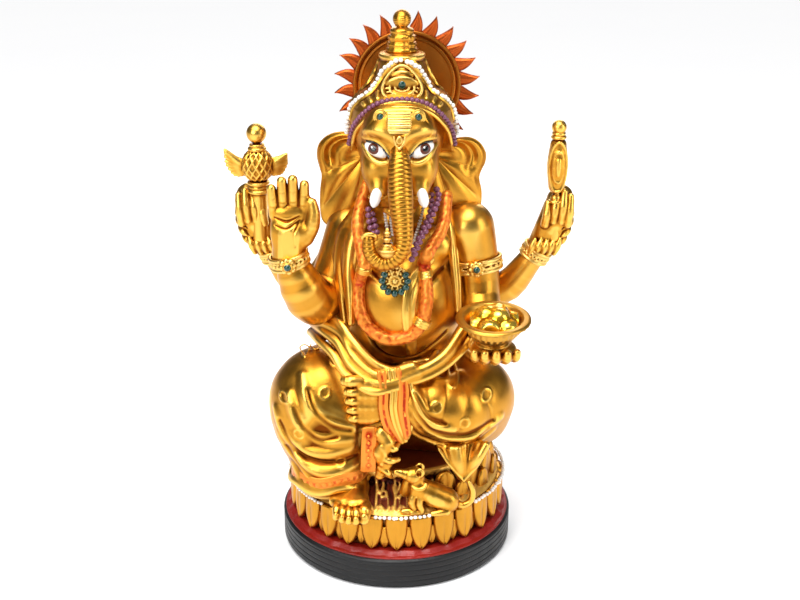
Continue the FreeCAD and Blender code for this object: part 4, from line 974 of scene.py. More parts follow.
def build_garland(torso):
    """The flower garland and the three gold rings on it."""
    loop = ((-17.6, 63.6), (-21.5, 52), (-22.7, 45), (-20.5, 34), (-19, 26), (-22, 15), (-22, 2), (-18, -7),
            (-11, -12),
            (-4.5, -13.5), (5.5, -10.5), (11.5, -2), (13.5, 8), (13.0, 17), (11.8, 25), (13.2, 31),
            (16.2, 36),
            (20.3, 42), (22.5, 48), (23.7, 58))
    line = []
    for x, z in loop:
        y = torso.face(belly[0] + x * 0.9, belly[2] + min(z, 26)) - 1.8
        forward = float(np.interp(z, (26, 34, 45, 52, 63), (-38, -34, -28, -22, -15)))
        line.append((belly[0] + x, y if z < 26 else min(forward, y + (z - 26) * 0.7), belly[2] + z))
    fine = smooth_line(line, 1.6)
    low, high = fine.min(0) - 6, fine.max(0) + 6
    clay = Clay(low, high, 0.42)
    clay.rope(line, 3.0, 0)
    rng = random.Random(8)
    for k in range(1, len(fine) - 1):
        along = fine[k + 1] - fine[k - 1]
        along = along / np.linalg.norm(along)
        across = np.cross(along, (0, 1, 0))
        for turn in (-1.2, -0.4, 0.4, 1.2):
            angle = turn + (0.4 if k % 2 else 0.0) + rng.uniform(-0.12, 0.12)
            out = across * math.sin(angle) + np.array((0, -1, 0)) * math.cos(angle)
            clay.ball(fine[k] + out * 2.2, rng.uniform(1.2, 1.6), 0.9)
    cast("flower_garland", clay, orange, "orange_enamel", "garland")
    knots = Clay(low, high, 0.42)
    for share in (0.24, 0.62, 0.76):
        k = int(share * (len(fine) - 3)) + 1
        along = fine[k + 1] - fine[k - 1]
        along = along / np.linalg.norm(along)
        for shift in (-1.5, 0, 1.5):
            loop = ellipse(fine[k] + along * shift, np.cross(along, (0, 1, 0)) * 3.9, (0, 3.9, 0), 10)
            knots.rope(loop, 0.9, 0.4, closed=True, pitch=1.5)
    cast("garland_rings", knots, gold, "gold_paint")


def build_necklaces(torso):
    """The purple beads, the silver chains and the pendant with its green stones."""
    lift = 3.4
    strands = (((-16.8, -34, 55.3), (-16.6, -36, 52), (-15.8, -37.5, 47), (-13.2, -39.5, 42)),
               ((-14.6, -34.5, 53), (-13.4, -37, 47.5), (-11.6, -39.5, 42)),
               ((18.2, -22, 62.4), (19.2, -26, 59.2), (17, -32, 54.7), (14, -36, 47.5), (9.9, -40, 41.4),
                (6.9, -42, 34.3),
                (3.9, -42.5, 29)),
               ((15.6, -24, 60), (15.2, -30, 54), (12, -36, 47), (8.2, -40.5, 40.5), (5.2, -42.5, 33.5)))
    spots = []
    for strand in strands:
        route = []
        for x, y, z in strand:
            touching = torso.face(belly[0] + x, belly[2] + min(z, 44)) - lift
            route.append((belly[0] + x, min(y, touching) if z < 44 else y, belly[2] + z))
        spots += list(spaced(route, 3.2))
    mesh = bead_mesh("bead_necklace", spots, 1.75, 21, 0.1)
    add_piece("bead_necklace", mesh, purple, "purple_bead", "purple_mala")
    spots = []
    for line in ([(-8, 56), (-8.5, 48), (-6.5, 38), (-4, 32)], [(12, 54), (10, 44), (6, 34)],
                 [(-5, 55), (-5.5, 46), (-4.5, 38)]):
        route = [(belly[0] + x, torso.face(belly[0] + x, belly[2] + min(z, 44)) - 2.2 - 0.1 * max(z - 34, 0),
                  belly[2] + z) for x, z in line]
        spots += list(spaced(route, 1.7))
    mesh = bead_mesh("silver_necklace", spots, 1.0, 22, 0.1)
    add_piece("silver_necklace", mesh, silver, "silver_bead", "silver_chains")
    low, high = node_box("pendant")
    centre = np.array([(low[0] + high[0]) / 2 - 1.8, low[1] + 0.6, (low[2] + high[2]) / 2 + 0.4])
    clay = Clay(centre - (12, 5, 12), centre + (12, 6, 12), 0.3)
    clay.ball(centre + (0, 2.4, 0), (7.4, 2.6, 7.4))
    for ring, count, size in ((0.0, 1, 1.7), (2.7, 8, 0.95), (4.9, 14, 0.85), (7.0, 22, 0.95)):
        for k in range(count):
            a = math.tau * k / count
            clay.ball(centre + (ring * math.cos(a), 0.2 + ring * 0.1, ring * math.sin(a)), size, 0.35)
    for k in range(8):
        a = math.tau * (k + 0.5) / 8
        clay.rope([centre + (1.6 * math.cos(a), 0, 1.6 * math.sin(a)),
                   centre + (6.4 * math.cos(a), 0.4, 6.4 * math.sin(a))], 0.5, 0.4)
    cast("filigree_pendant", clay, pale_gold, "gold_paint", "pendant")
    stones = Clay(centre - (13, 5, 13), centre + (13, 6, 13), 0.3)
    for k in range(9):
        a = math.radians(-215 + 31 * k)
        spot = centre + (6.6 * math.cos(a), -0.7, 6.6 * math.sin(a))
        stones.ball(spot, (2.0, 1.5, 1.7), 0.3, turn=(0, -math.degrees(a), 0))
    cast("green_stones", stones, green, "green_gem", "pendant_stones")


# ---- head and trunk ----------------------------------------------------------------------------
def build_head():
    """The elephant's head with its brows, eye sockets, cheeks and tusk sheaths."""
    clay = Clay(head + (-30, -42, -42), head + (30, 30, 28), 0.5)
    mid = face_middle
    clay.ball(mid + (0, 0, 3), (22.6, 23.5, 24))
    clay.rope(points_from(mid, (0, -8, 2), (0, -12, -9), (0, -14, -20)), [20.0, 17.0, 12.5], 8)
    for side in (-1, 1):
        clay.ball(mid + (side * 8.0, -21, -22), (6.0, 7, 9), 6)
        clay.ball(mid + (side * 12.5, -19, -11), (6.5, 8, 9), 7)
        clay.ball(mid + (side * 6.5, -19.0, 11), (9, 9, 9), 8)
    clay.ball(mid + (0, -17, -33), (6, 6, 5), 4)
    clay.rope(points_from(mid, (-6.5, -20, -33), (0, -24, -35.5), (6.5, -20, -33)), 2.0, 2.0)
    for side in (-1, 1):
        socket = mid + (side * 11.4, -28.6, -0.6)
        clay.ball(socket, (8.4, 4.6, 4.8), 1.8, turn=(0, -side * 24, side * 20), cut=True)
        brow = [(side * 2.0, 4.0), (side * 4.2, 7.0), (side * 8.8, 9.4), (side * 13.6, 9.8),
                (side * 17.0, 8.0)]
        clay.ridge(mid, brow, 1.6, 4.0, -0.3)
        upper = [(side * 4.4, -4.6), (side * 5.9, -0.6), (side * 8.9, 3.0), (side * 13.4, 5.2),
                 (side * 18.2, 4.8)]
        clay.ridge(mid, upper, 1.0, 0.9, 0.35, taper=False)
        lower = [(side * 4.4, -4.6), (side * 6.6, -6.2), (side * 10.6, -6.4), (side * 14.8, -4.0),
                 (side * 18.6, 0.6)]
        clay.ridge(mid, lower, 1.0, 0.9, 0.3, taper=False)
        root = mid + (side * 10.0, -26.0, -20.5)
        clay.ball(root, (4.6, 4.2, 5.0), 4.0)
        ring = ellipse(root + (side * 1.4, -2.6, -3.2), (3.7, 0, 0), (0, 2.8, 0), 12)
        clay.rope(ring, 0.9, 0.8, closed=True, pitch=1.2)
    cast("elephant_head", clay, gold, "gold_paint", "head")
    return clay


TUBE_STEP = 0.35
TRUNK_SIDES = 56
TRUNK_PITCH = 2.15


def tube_mesh(name, points, radii, sides, shape):
    """A closed tube along a smooth line; shape gives each point's swell."""
    with_radii = [tuple(p) + (r,) for p, r in zip(points, radii)]
    line = smooth_line(with_radii, TUBE_STEP)
    length = arc_lengths(line[:, :3])
    verts, faces = [], []
    side = np.array((1.0, 0, 0))
    for i, (x, y, z, r) in enumerate(line):
        before, after = line[max(i - 1, 0), :3], line[min(i + 1, len(line) - 1), :3]
        along = (after - before) / max(np.linalg.norm(after - before), 1e-9)
        side = side - along * (side @ along)
        side = side / np.linalg.norm(side)
        up = np.cross(along, side)
        for j in range(sides):
            a = math.tau * j / sides
            reach = r + shape(length[i], length[-1], a)
            verts.append(np.array((x, y, z)) + reach * (math.cos(a) * side + math.sin(a) * up))
    rows = len(line)
    faces = [f[::-1] for f in grid_faces(rows, sides, True)]
    faces.append(tuple(range(sides)))
    faces.append(tuple((rows - 1) * sides + sides - 1 - j for j in range(sides)))
    return plain_mesh(name, verts, faces)


def build_trunk():
    """The banded trunk, the pot it holds and the tusks."""
    nose = face_middle + (0, -25, 0)
    places = ((0, 3, 6), (0, -1, 1), (0.2, -6.5, -8), (0.6, -12, -22), (1.6, -15, -34), (1.8, -16.5, -44),
              (-1.6, -17, -51.5), (-8.5, -17, -54.5), (-14.6, -16.6, -49.5), (-15.4, -16.2, -42),
              (-14.4, -16.2, -40.2))
    radii = (2.4, 4.0, 5.8, 6.1, 5.3, 4.5, 4.0, 3.6, 3.3, 3.0, 2.1)

    def shape(at, total, angle):
        fade = min(1.0, max(0.0, (at - 7.0) / 8.0)) * min(1.0, max(0.0, (total - at - 1.5) / 5.0))
        front = min(1.0, max(0.0, (math.sin(angle) - 0.40) / 0.30))
        groove = math.exp(-((at / TRUNK_PITCH % 1.0 - 0.5) / 0.14) ** 2)
        edge = math.exp(-((math.sin(angle) - 0.26) / 0.12) ** 2) * 0.32
        return fade * (front * (0.12 - 0.42 * groove) + edge * 0.8)

    mesh = tube_mesh("trunk_cast", points_from(nose, *places), radii, TRUNK_SIDES, shape)
    # These crease values give painted shade in the ring grooves and a painted highlight on the front bands
    # between them.
    values = np.zeros(len(mesh.vertices), np.float32)
    line = smooth_line([tuple(nose + p) + (r,) for p, r in zip(places, radii)], TUBE_STEP)
    length = arc_lengths(line[:, :3])
    front = np.clip((np.sin(turns(TRUNK_SIDES)) - 0.30) / 0.22, 0, 1)
    for i, at in enumerate(length):
        fade = min(1.0, max(0.0, (at - 7.0) / 8.0))
        groove = math.exp(-((at / TRUNK_PITCH % 1.0 - 0.5) / 0.2) ** 2)
        values[i * TRUNK_SIDES:(i + 1) * TRUNK_SIDES] = fade * front * (0.12 - 0.40 * groove)
    store_crease(mesh, values)
    add_piece("trunk_cast", mesh, gold, "gold_paint", "trunk")
    tip = Clay(nose + (-23, -24, -50), nose + (-8, -9, -32), 0.35)
    spot = nose + (-15.0, -16.6, -41.0)
    ring = ellipse(spot, (3.4, 0, 0), (0, -1.2, 2.0), 12)
    tip.rope(ring, 1.15, 0.6, closed=True, pitch=1.0)
    cast("trunk_tip", tip, gold, "gold_paint")
    low, high = node_box("sweet_pot")
    pot = foot_middle(low, high) + (0, 0, 4.0)
    clay = Clay(pot - (7, 7, 6), pot + (7, 7, 14), 0.3)
    clay.ball(pot, (4.3, 3.8, 4.0))
    for rise, size in ((3.4, 2.7), (5.2, 1.9), (6.4, 2.3), (8.2, 1.5), (9.6, 1.9), (11.2, 1.0)):
        clay.ball(pot + (0, 0, rise), (size, size, 0.95), 0.5)
    ring = ellipse(pot + (0, 0, 0.6), (4.4, 0, 0), (0, 3.9, 0), 14)
    clay.rope(ring, 0.45, 0.3, closed=True, pitch=1.0)
    cast("sweet_pot_cast", clay, pale_gold, "gold_paint", "sweet_pot")
    tusks = Clay(head + (-20, -42, -42), head + (22, -18, -16), 0.35)
    for side in (-1, 1):
        root = face_middle + (side * 11.0, -28.8, -20.5)
        tusks.rope([root, root + (side * 0.6, -1.0, -2.0), root + (side * 1.3, -2.0, -4.6),
                    root + (side * 1.8, -2.6, -6.6)],
                   [2.2, 2.8, 2.7, 1.5], 0.0, pitch=1.0)
    cast("tusk_pair", tusks, white, "ivory_paint", "tusks")


def patch(source, spots, lift):
    """The part of some clay that lies inside upright columns, raised a little: (x, z, radius) each."""
    clay = Clay(source.low, source.low + 1, source.step)
    clay.low, clay.axes = source.low, source.axes
    x, _, z = np.ix_(*(axis.astype(np.float32) for axis in source.axes))
    inside = np.full(source.field.shape, FAR, np.float32)
    for px, pz, radius in spots:
        inside = np.minimum(inside, np.sqrt((x - px) ** 2 + (z - pz) ** 2) - radius)
    clay.field = np.maximum(source.field - lift, inside)
    return clay


def build_eyes(skull):
    """The eyes with their irises, pupils, glints and dark lid lines."""
    mid = face_middle
    eyes = Clay(mid + (-22, -36, -10), mid + (22, -14, 10), 0.26)
    lids = Clay(mid + (-24, -38, -12), mid + (24, -12, 12), 0.3)
    irises, pupils, glint_spots = [], [], []
    for side in (-1, 1):
        centre = mid + (side * 11.2, -22.6, -0.9)
        eyes.ball(centre, (6.9, 5.0, 3.5), turn=(0, -side * 25, side * 18))
        irises.append((centre[0] + side * 1.8, centre[2] + 1.3, 2.7))
        pupils.append((centre[0] + side * 1.9, centre[2] + 1.6, 1.6))
        # Painted highlight: a small white glint dot on each pupil.
        glint_spots.append((centre[0] + side * 1.9 - 0.7, centre[2] + 2.2, 0.5))
        line = []
        for x, z in smooth_line([(side * 4.8, -4.0, 0), (side * 6.9, -0.8, 0), (side * 9.5, 1.7, 0),
                                 (side * 12.8, 3.4, 0), (side * 14.6, 3.6, 0), (side * 16.2, 3.4, 0)],
                                1.0)[:, :2]:
            y = min(skull.face(mid[0] + x, mid[2] + z), eyes.face(mid[0] + x, mid[2] + z) + 0.5) - 0.2
            line.append((mid[0] + x, max(y, mid[1] - 29.0), mid[2] + z))
        lids.rope(line, 0.75, 0.2)
    cast("eye_whites", eyes, white, "eye_enamel", "eyes")
    for name, spots, lift, material in (("eye_irises", irises, 0.10, iris),
                                        ("eye_pupils", pupils, 0.20, pupil),
                                        ("eye_glints", glint_spots, 0.30, white)):
        cast(name, patch(eyes, spots, lift), material, "eye_enamel")
    cast("eye_liner", lids, pupil, "eye_enamel")


def build_brow_trim(skull):
    """The barred plate and drop on the forehead and the two ringed studs."""
    mid = face_middle
    low, high = node_box("tilak")
    width = high[0] - low[0]
    centre = np.array([mid[0], skull.face(mid[0], head[2] + 12.0) - 1.2, head[2] + 12.5])
    plate = Clay(centre - (10, 9, 14), centre + (10, 10, 9), 0.28)
    wide = width / 2 * 0.96
    for k in range(9):
        z = centre[2] - 3.2 + k * 1.08
        y = min(skull.face(centre[0] + x, z) for x in (-3.0, 0.0, 3.0)) - 0.5
        row = [(centre[0] - wide, y + 0.5, z), (centre[0], y - 0.3, z), (centre[0] + wide, y + 0.5, z)]
        plate.rope(row, 0.62, 0.05, pitch=1.5)
        plate.rope([np.array(spot) + (0, 1.1, 0) for spot in row], 1.2, 0.1, pitch=1.5)
    for side in (-1, 1):
        plate.rope([centre + (side * 2.7, -0.9, -5.0), centre + (side * 2.0, -1.7, -8.2),
                    centre + (0, -2.6, -10.6)], 0.55, 0.3)
    ring = ellipse(centre + (0, -1.8, -6.6), (1.3, 0, 0), (0, 0, 1.5), 10)
    plate.rope(ring, 0.42, 0.2, closed=True, pitch=0.7)
    plate.ball(centre + (0, -1.2, -6.6), (1.7, 1.0, 2.4), 0.3)
    cast("brow_plate", plate, pale_gold, "gold_paint", "tilak")
    rings = Clay(mid + (-16, -36, 8), mid + (16, -14, 26), 0.3)
    stones = Clay(mid + (-16, -36, 8), mid + (16, -14, 26), 0.3)
    for side in (-1, 1):
        x, z = mid[0] + side * 9.4, head[2] + 16.4
        spot = np.array([x, skull.face(x, z) - 0.5, z])
        for turn, size in ((0.0, 2.2), (0.6, 3.2)):
            ring = ellipse(spot + (0, turn, 0), (size, 0.35 * side, 0), (0, 0, size * 1.05), 12)
            rings.rope(ring, 0.55, 0.2, closed=True, pitch=0.8)
        stones.ball(spot + (0, -0.1, 0), (1.6, 1.1, 1.8))
    cast("brow_stones", stones, green, "green_gem", "brow_studs")
    cast("brow_rings", rings, gold, "gold_paint")


EAR_OUTLINES = {
    -1: ((0.5, 7.0), (6.0, 12.0), (13.0, 12.4), (19.4, 10.0), (24.0, 5.0), (25.0, -1.5), (23.6, -8.0),
         (22.8, -12.0),
         (23.8, -20.0), (24.0, -30.5), (22.6, -37.0), (18.0, -39.5), (10.0, -37.0), (2.0, -31.0),
         (-5.0, -24.0)),
    1: ((0.5, 5.0), (8.0, 8.6), (17.4, 9.4), (23.6, 6.4), (27.2, 0.8), (27.2, -4.6), (25.0, -9.5),
        (24.2, -13.5),
        (25.6, -20.0), (25.6, -27.5), (24.2, -33.0), (17.0, -33.5), (9.0, -31.5), (2.0, -28.0),
        (-5.0, -22.0)),
}


def build_ears():
    """Each ear is a rolled upper lobe over a fan of folds that spread from its root."""
    rows, columns = 44, 150
    for side, name in ((-1, "right_ear"), (1, "left_ear")):
        root = face_middle + (side * 18.5, 2.0, -10.0)
        curve = smooth_line([(x, z, 0) for x, z in EAR_OUTLINES[side]], 0.4)[:, :2]
        length = arc_lengths(curve)
        marks = np.linspace(0, length[-1], columns)
        rim = np.stack([np.interp(marks, length, curve[:, i]) for i in range(2)], axis=1)
        angles = np.unwrap(np.arctan2(rim[:, 0], rim[:, 1]))
        lower = 1 / (1 + np.exp(-(np.degrees(angles) - 108) / 6))
        points, values = [], []
        for layer in (-1, 1):
            for i in range(rows):
                share = i / (rows - 1)
                for j in range(columns):
                    x, z = rim[j] * share
                    wave = abs(math.sin(angles[j] * 6.5 + 0.4 * side)) ** 0.7
                    fade = math.sin(math.pi * min(share * 1.1, 1)) ** 0.4
                    pleat = (0.55 - wave) * (0.3 + 2.6 * share) * lower[j] * fade
                    roll = -3.0 * math.exp(-((share - 0.90) / 0.12) ** 2) * (1 - lower[j])
                    lobe = -3.4 * math.exp(-((share - 0.50) / 0.20) ** 2) * (1 - lower[j])
                    dip = 1.8 * math.exp(-((share - 0.72) / 0.08) ** 2) * (1 - lower[j])
                    thick = 1.25 * (1 - share ** 8) + 0.15
                    sag = (2.2 * math.sin(math.pi * share) + 1.4 * share) * lower[j]
                    y = pleat + roll + lobe + dip - sag
                    points.append(root + (side * x, y + layer * thick + 0.24 * abs(x), z))
                    # These crease values give the folds a painted highlight on their ridges and painted shade
                    # between them.
                    ridge = 0.30 * (1 - wave) ** 2 - 0.10 * wave ** 6
                    values.append(ridge * lower[j] * share * 1.2 if layer < 0 else 0.0)
        size = rows * columns
        quads = grid_faces(rows, columns, False)
        faces = [f if side < 0 else f[::-1] for f in quads]
        faces += [tuple(size + k for k in (f[::-1] if side < 0 else f)) for f in quads]
        edge = [i * columns for i in range(rows)] + [(rows - 1) * columns + j for j in range(1, columns)]
        edge += [i * columns + columns - 1 for i in range(rows - 2, -1, -1)]
        for a, b in zip(edge, edge[1:]):
            faces.append((b, a, size + a, size + b) if side < 0 else (a, b, size + b, size + a))
        mesh = plain_mesh(name + "_fan", points, faces)
        store_crease(mesh, values)
        add_piece(name + "_fan", mesh, gold, "gold_paint", name)


# ---- crown and halo ------------------------------------------------------------------------------
RAY_COUNT = 24
CROWN_PROFILE = ((27.4, -16), (27.9, 0), (27.6, 6), (26.3, 12), (24.5, 16), (22.0, 19), (17.8, 22),
                 (15.3, 24.8),
                 (13.6, 28), (12.7, 31), (11.6, 35), (9.6, 39.4))
CROWN_STRETCH = 1.12
CROWN_RIM = ((0, 16.8), (14, 16.4), (26, 15.0), (37, 12.2), (48, 7.4), (58, 1.8), (66, -5.0), (74, -10.0),
             (180, -11.0))
MEDALLION_LEAN = 22.0
PEARL_STRING = ((3, 37.5), (20, 36.3), (38, 33.8), (52, 29.5), (57, 25.0), (58, 21.4), (63, 18.9),
                (70, 16.2), (76, 12.2),
                (77, 7.7), (79, 3.0), (84, -2.5))
PURPLE_STRING = ((0, 20.0), (14, 19.6), (26, 18.4), (37, 15.8), (48, 11.0), (59, 5.0), (66, -1.0), (72, -6.0))


def crown_reach(height):
    """The crown's radius at a height."""
    heights = [z for _, z in CROWN_PROFILE]
    return float(np.interp(height, heights, [r for r, _ in CROWN_PROFILE]))


def on_crown(azimuth, height, lift=0.0):
    """A point on the crown's surface; azimuth is counted from the front towards the figure's left."""
    a = math.radians(azimuth)
    reach = crown_reach(height) + lift
    return crown_middle + (reach * math.sin(a), -reach * CROWN_STRETCH * math.cos(a), height)


def build_crown():
    """The crown with its raised rims and its strings of pearls and purple beads."""
    clay = Clay(crown_middle + (-32, -34, -16), crown_middle + (32, 34, 42), 0.5)
    x, y, z = np.ix_(*(axis.astype(np.float32) for axis in clay.axes))
    x, y, rise = x - crown_middle[0], (y - crown_middle[1]) / CROWN_STRETCH, z - crown_middle[2]
    away = np.sqrt(x ** 2 + y ** 2)
    heights = np.array([h for _, h in CROWN_PROFILE])
    reach = np.interp(rise.ravel(), heights, [r for r, _ in CROWN_PROFILE]).astype(np.float32)[None, None, :]
    azimuth = np.degrees(np.arctan2(np.abs(x), -y))
    rim = np.interp(azimuth, [a for a, _ in CROWN_RIM], [h for _, h in CROWN_RIM]).astype(np.float32)
    body = np.maximum((away - reach) * 0.8, rise - CROWN_PROFILE[-1][1])
    clay.field = np.maximum(body, (rim - rise) * 0.8).astype(np.float32)
    for drop, thick in ((0.4, 1.0), (-1.9, 0.7)):
        line = [on_crown(side * a, h - drop, 0.1) for side, a, h in
                [(-1, a, h) for a, h in CROWN_RIM[6:0:-1]] + [(1, a, h) for a, h in CROWN_RIM[:7]]]
        clay.rope(line, thick, 0.7)
    for shift, thick in ((-2.6, 0.85), (2.4, 0.85)):
        for side in (-1, 1):
            line = [on_crown(side * (a + shift * 0.9), h + shift * 0.35, 0.1) for a, h in PEARL_STRING[1:10]]
            clay.rope(line, thick, 1.0)
    for side in (-1, 1):
        for k in range(3):
            line = [on_crown(side * (36 + 7 * k), 19.5 - 2.0 * k, 0),
                    on_crown(side * (44 + 6 * k), 22 - 2.8 * k, 0.2)]
            clay.rope(line, 0.6, 0.9)
    for height in (-4, 4, 12, 20, 28, 35):
        clay.rope([on_crown(a, height, 0.0) for a in np.linspace(92, 268, 41)], 0.9, 1.4)
    for k in range(13):
        a = 95 + k * 170 / 12
        clay.rope([on_crown(a, -4, 0), on_crown(a, 12, 0.3), on_crown(a, 21, 0), on_crown(a, 34, 0)], 0.9,
                  1.6)
    ring = [on_crown(a, 37.8, 0.5) for a in np.linspace(0, 345, 24)]
    clay.rope(ring, 1.3, 0.8, closed=True)
    cast("crown_cast", clay, gold, "gold_paint", "crown")
    build_medallion()
    spots = []
    for side in (-1, 1):
        spots += [tuple(p) for p in spaced([on_crown(side * a, h, 1.1) for a, h in PEARL_STRING], 2.35)]
    rng = random.Random(9)
    spots = [(x + rng.uniform(-0.35, 0.35), y, z + rng.uniform(-0.35, 0.35)) for x, y, z in apart(spots, 1.9)]
    add_piece("crown_pearl_strings", bead_mesh("crown_pearl_strings", spots, 1.4, 31, 0.12), pearl,
              "white_pearl",
              "crown_pearls")
    spots = []
    for side in (-1, 1):
        spots += [tuple(p) for p in spaced([on_crown(side * a, h, 1.0) for a, h in PURPLE_STRING], 2.5)]
    add_piece("crown_purple_string", bead_mesh("crown_purple_string", apart(spots, 2.0), 1.5, 32, 0.1, 0.9),
              purple,
              "purple_bead", "crown_purple_beads")
    build_finial()


def build_medallion():
    """The leaning plate on the front of the crown, with its stone."""
    centre = on_crown(0, 27.4, 0.0)
    lean = math.radians(MEDALLION_LEAN)

    def on_plate(dx, dz, lift):
        return centre + (dx, -lift * math.cos(lean) + dz * math.sin(lean),
                         dz * math.cos(lean) + lift * math.sin(lean))

    plate = Clay(centre - (14, 12, 14), centre + (14, 12, 14), 0.33)
    for dx, dz, size in ((0, -3.4, 9.4), (0, 1.0, 7.0), (0, 5.0, 3.8)):
        plate.ball(on_plate(dx, dz, -0.8), (size, 2.2, size * 0.72), 1.6, turn=(MEDALLION_LEAN, 0, 0))
    for reach, thick in ((1.0, 0.8), (0.62, 0.7), (0.36, 0.55)):
        ring = []
        for a in turns(24):
            wide = 9.4 * reach * math.sin(a) * (1 - 0.36 * math.cos(a))
            ring.append(on_plate(wide, (-1.6 - 1.4 * (1 - reach)) + 9.0 * reach * math.cos(a),
                                 1.3 + 0.5 * (1 - reach)))
        plate.rope(ring, thick, 0.3, closed=True, pitch=1.0)
    for k in range(20):
        a = math.tau * k / 20
        wide = 7.6 * math.sin(a) * (1 - 0.36 * math.cos(a))
        plate.rope([on_plate(wide, -1.9 + 7.0 * math.cos(a), 1.3),
                    on_plate(wide * 0.86 + 0.8, -2.0 + 6.2 * math.cos(a), 1.5)],
                   0.55, 0.2)
    cast("crown_plate", plate, pale_gold, "gold_paint", "crown_medallion")
    gem = Clay(centre - (6, 8, 8), centre + (6, 6, 8), 0.25)
    gem.ball(on_plate(0, -2.4, 1.8), (2.2, 1.6, 2.5), turn=(MEDALLION_LEAN, 0, 0))
    cast("crown_stone", gem, green, "green_gem", "crown_gem")


FINIAL_RINGS = ((0.96, 0.0), (1.0, 0.04), (0.93, 0.09), (0.86, 0.12), (0.90, 0.17), (0.88, 0.22),
                (0.76, 0.25),
                (0.84, 0.31), (0.84, 0.38), (0.68, 0.42), (0.74, 0.47), (0.72, 0.53), (0.52, 0.58))


def build_finial():
    """The turned top of the crown with its ball."""
    middle = foot_middle(finial_low, finial_high)
    total = finial_high[2] - finial_low[2]
    wide = (finial_high[0] - finial_low[0]) / 2
    profile = [(wide * reach, total * rise) for reach, rise in FINIAL_RINGS]
    ball = 4.7
    top = total - ball
    for a in np.linspace(-58, 90, 14):
        profile.append((max(ball * math.cos(math.radians(a)), 0.15), top + ball * math.sin(math.radians(a))))

    def lobes(row, angle):
        return 0.16 * math.cos(12 * angle) if row < 40 else 0.0

    mesh = lathe_mesh("finial_cast", middle, rounded_profile(profile, 0.6), 72, lobes)
    add_piece("finial_cast", mesh, gold, "gold_paint", "finial")


def apart(spots, gap):
    """The points that stay at least a gap from the ones before them."""
    kept = []
    for p in spots:
        if all(math.dist(p, q) >= gap for q in kept):
            kept.append(p)
    return kept


def build_halo():
    """The round plate behind the head: a rolled rim, a coppery face and curved grooved rays."""
    centre = (halo_low + halo_high) / 2
    radius = (halo_high[0] - halo_low[0]) / 2
    thick = halo_high[1] - halo_low[1]
    tip = (rays_high[0] - rays_low[0]) / 2
    profile = [(radius, 0.0), (radius, thick - 0.8), (radius - 0.5, thick), (radius - 1.6, thick),
               (radius - 2.4, thick - 0.6),
               (radius - 2.9, thick - 1.5), (radius - 3.6, thick - 1.7), (radius - 4.2, thick - 1.3),
               (radius - 5.0, thick - 1.7), (radius - 11, thick - 1.9), (1.0, thick - 1.9)]
    mesh = lathe_mesh("halo_plate", (0, 0, 0), rounded_profile(profile, 0.4), 160)
    reshape(mesh, lambda x, y, z: (x + centre[0], centre[1] + thick / 2 - z, y + centre[2]))
    add_piece("halo_plate", mesh, disc_copper, "copper_paint", "halo_disc")
    build_rays(centre, radius, tip, thick)


def build_rays(centre, radius, tip, thick):
    """Pointed rays with fine grooves that spread from the rim."""
    rows, columns = 16, 17
    points, faces, values = [], [], []
    for k in range(RAY_COUNT):
        base = len(points)
        start = math.tau * (k + 0.5) / RAY_COUNT
        for layer in (0, 1):
            for i in range(rows):
                v = i / (rows - 1)
                r = radius - 1.4 + (tip - radius + 1.4) * v
                half = math.pi / RAY_COUNT * (radius + 1.0) * max(1 - v ** 1.5, 0.03)
                bend = 0.030 * math.sin(v * math.pi) + 0.018 * v
                for j in range(columns):
                    u = 2 * j / (columns - 1) - 1
                    x = r * math.sin(start + bend) + u * half * math.cos(start + bend)
                    z = r * math.cos(start + bend) - u * half * math.sin(start + bend)
                    groove = math.cos(u * math.pi * 3.5)
                    y = thick * 0.30
                    if layer == 0:
                        y = -thick * 0.30 * (1 - 0.75 * u * u) - 0.16 * groove * (1 - v)
                    points.append(centre + (x, y, z))
                    # These crease values give painted shade in the ray grooves and towards each ray's sides,
                    # and a painted highlight on the ribs.
                    values.append(0.14 * groove * (1 - v) - 0.22 * u ** 4 if layer == 0 else 0.0)
        faces += [tuple(base + q for q in f[::-1]) for f in shell_faces(rows, columns)]
    mesh = plain_mesh("halo_ray_ring", points, faces)
    store_crease(mesh, values)
    add_piece("halo_ray_ring", mesh, ray_copper, "copper_paint", "halo_rays")


# ---- arms, hands and what they hold ----------------------------------------------------------------
def build_arms():
    """The four bare arms."""
    arms = (
        ("front_right_arm", ((-28, 6, 36), (-38, -2, 6), (-46, -15, 1), (-52, -22, 12), (-57, -24, 26)),
         (12.2, 12.2, 12.6, 11.6, 8.4)),
        ("front_left_arm", ((36, 4, 37), (40, 4, 18), (42.0, 0, -1), (43.5, -14, -12), (46, -28, -17)),
         (14.0, 13.0, 12.0, 10.4, 8.4)),
        ("rear_right_arm", ((-25, 20, 32), (-48, 20, -2), (-60, 19, 2), (-70, 15, 18)),
         (10.2, 9.0, 8.6, 6.3)),
        ("rear_left_arm", ((33, 20, 32), (48, 22, -2), (60, 20, -2), (74, 16, 18)), (10.2, 9.4, 8.8, 6.4)),
    )
    for name, route, radii in arms:
        points = np.array([belly + p for p in route])
        low = points.min(0) - max(radii) - 3
        high = points.max(0) + max(radii) + 3
        clay = Clay(low, high, 0.7)
        clay.rope(points, list(radii))
        clay.ripple(0.2, 8.0, 6)
        cast(name + "_cast", clay, gold, "gold_paint", name)


BAND_PLACES = (
    ((-57, -24, 24), (-59, -24.5, 33), 9.9, True),
    ((45.2, -25, -16.2), (47.5, -33, -19.5), 9.6, True),
    ((-68.6, 15.4, 15.5), (-71.5, 14.2, 23), 7.6, False),
    ((72.6, 16.4, 15.5), (76, 15.4, 22), 7.8, False),
    ((39.6, 3.4, 21), (40.6, 2.6, 13), 14.2, True),
)


def frame_along(start, end):
    """Unit vectors along a wrist, across it and out of its front."""
    along = np.array(end, float) - np.array(start, float)
    along = along / np.linalg.norm(along)
    across = np.cross(along, (0, -1, 0))
    across = across / np.linalg.norm(across)
    return along, across, np.cross(across, along)


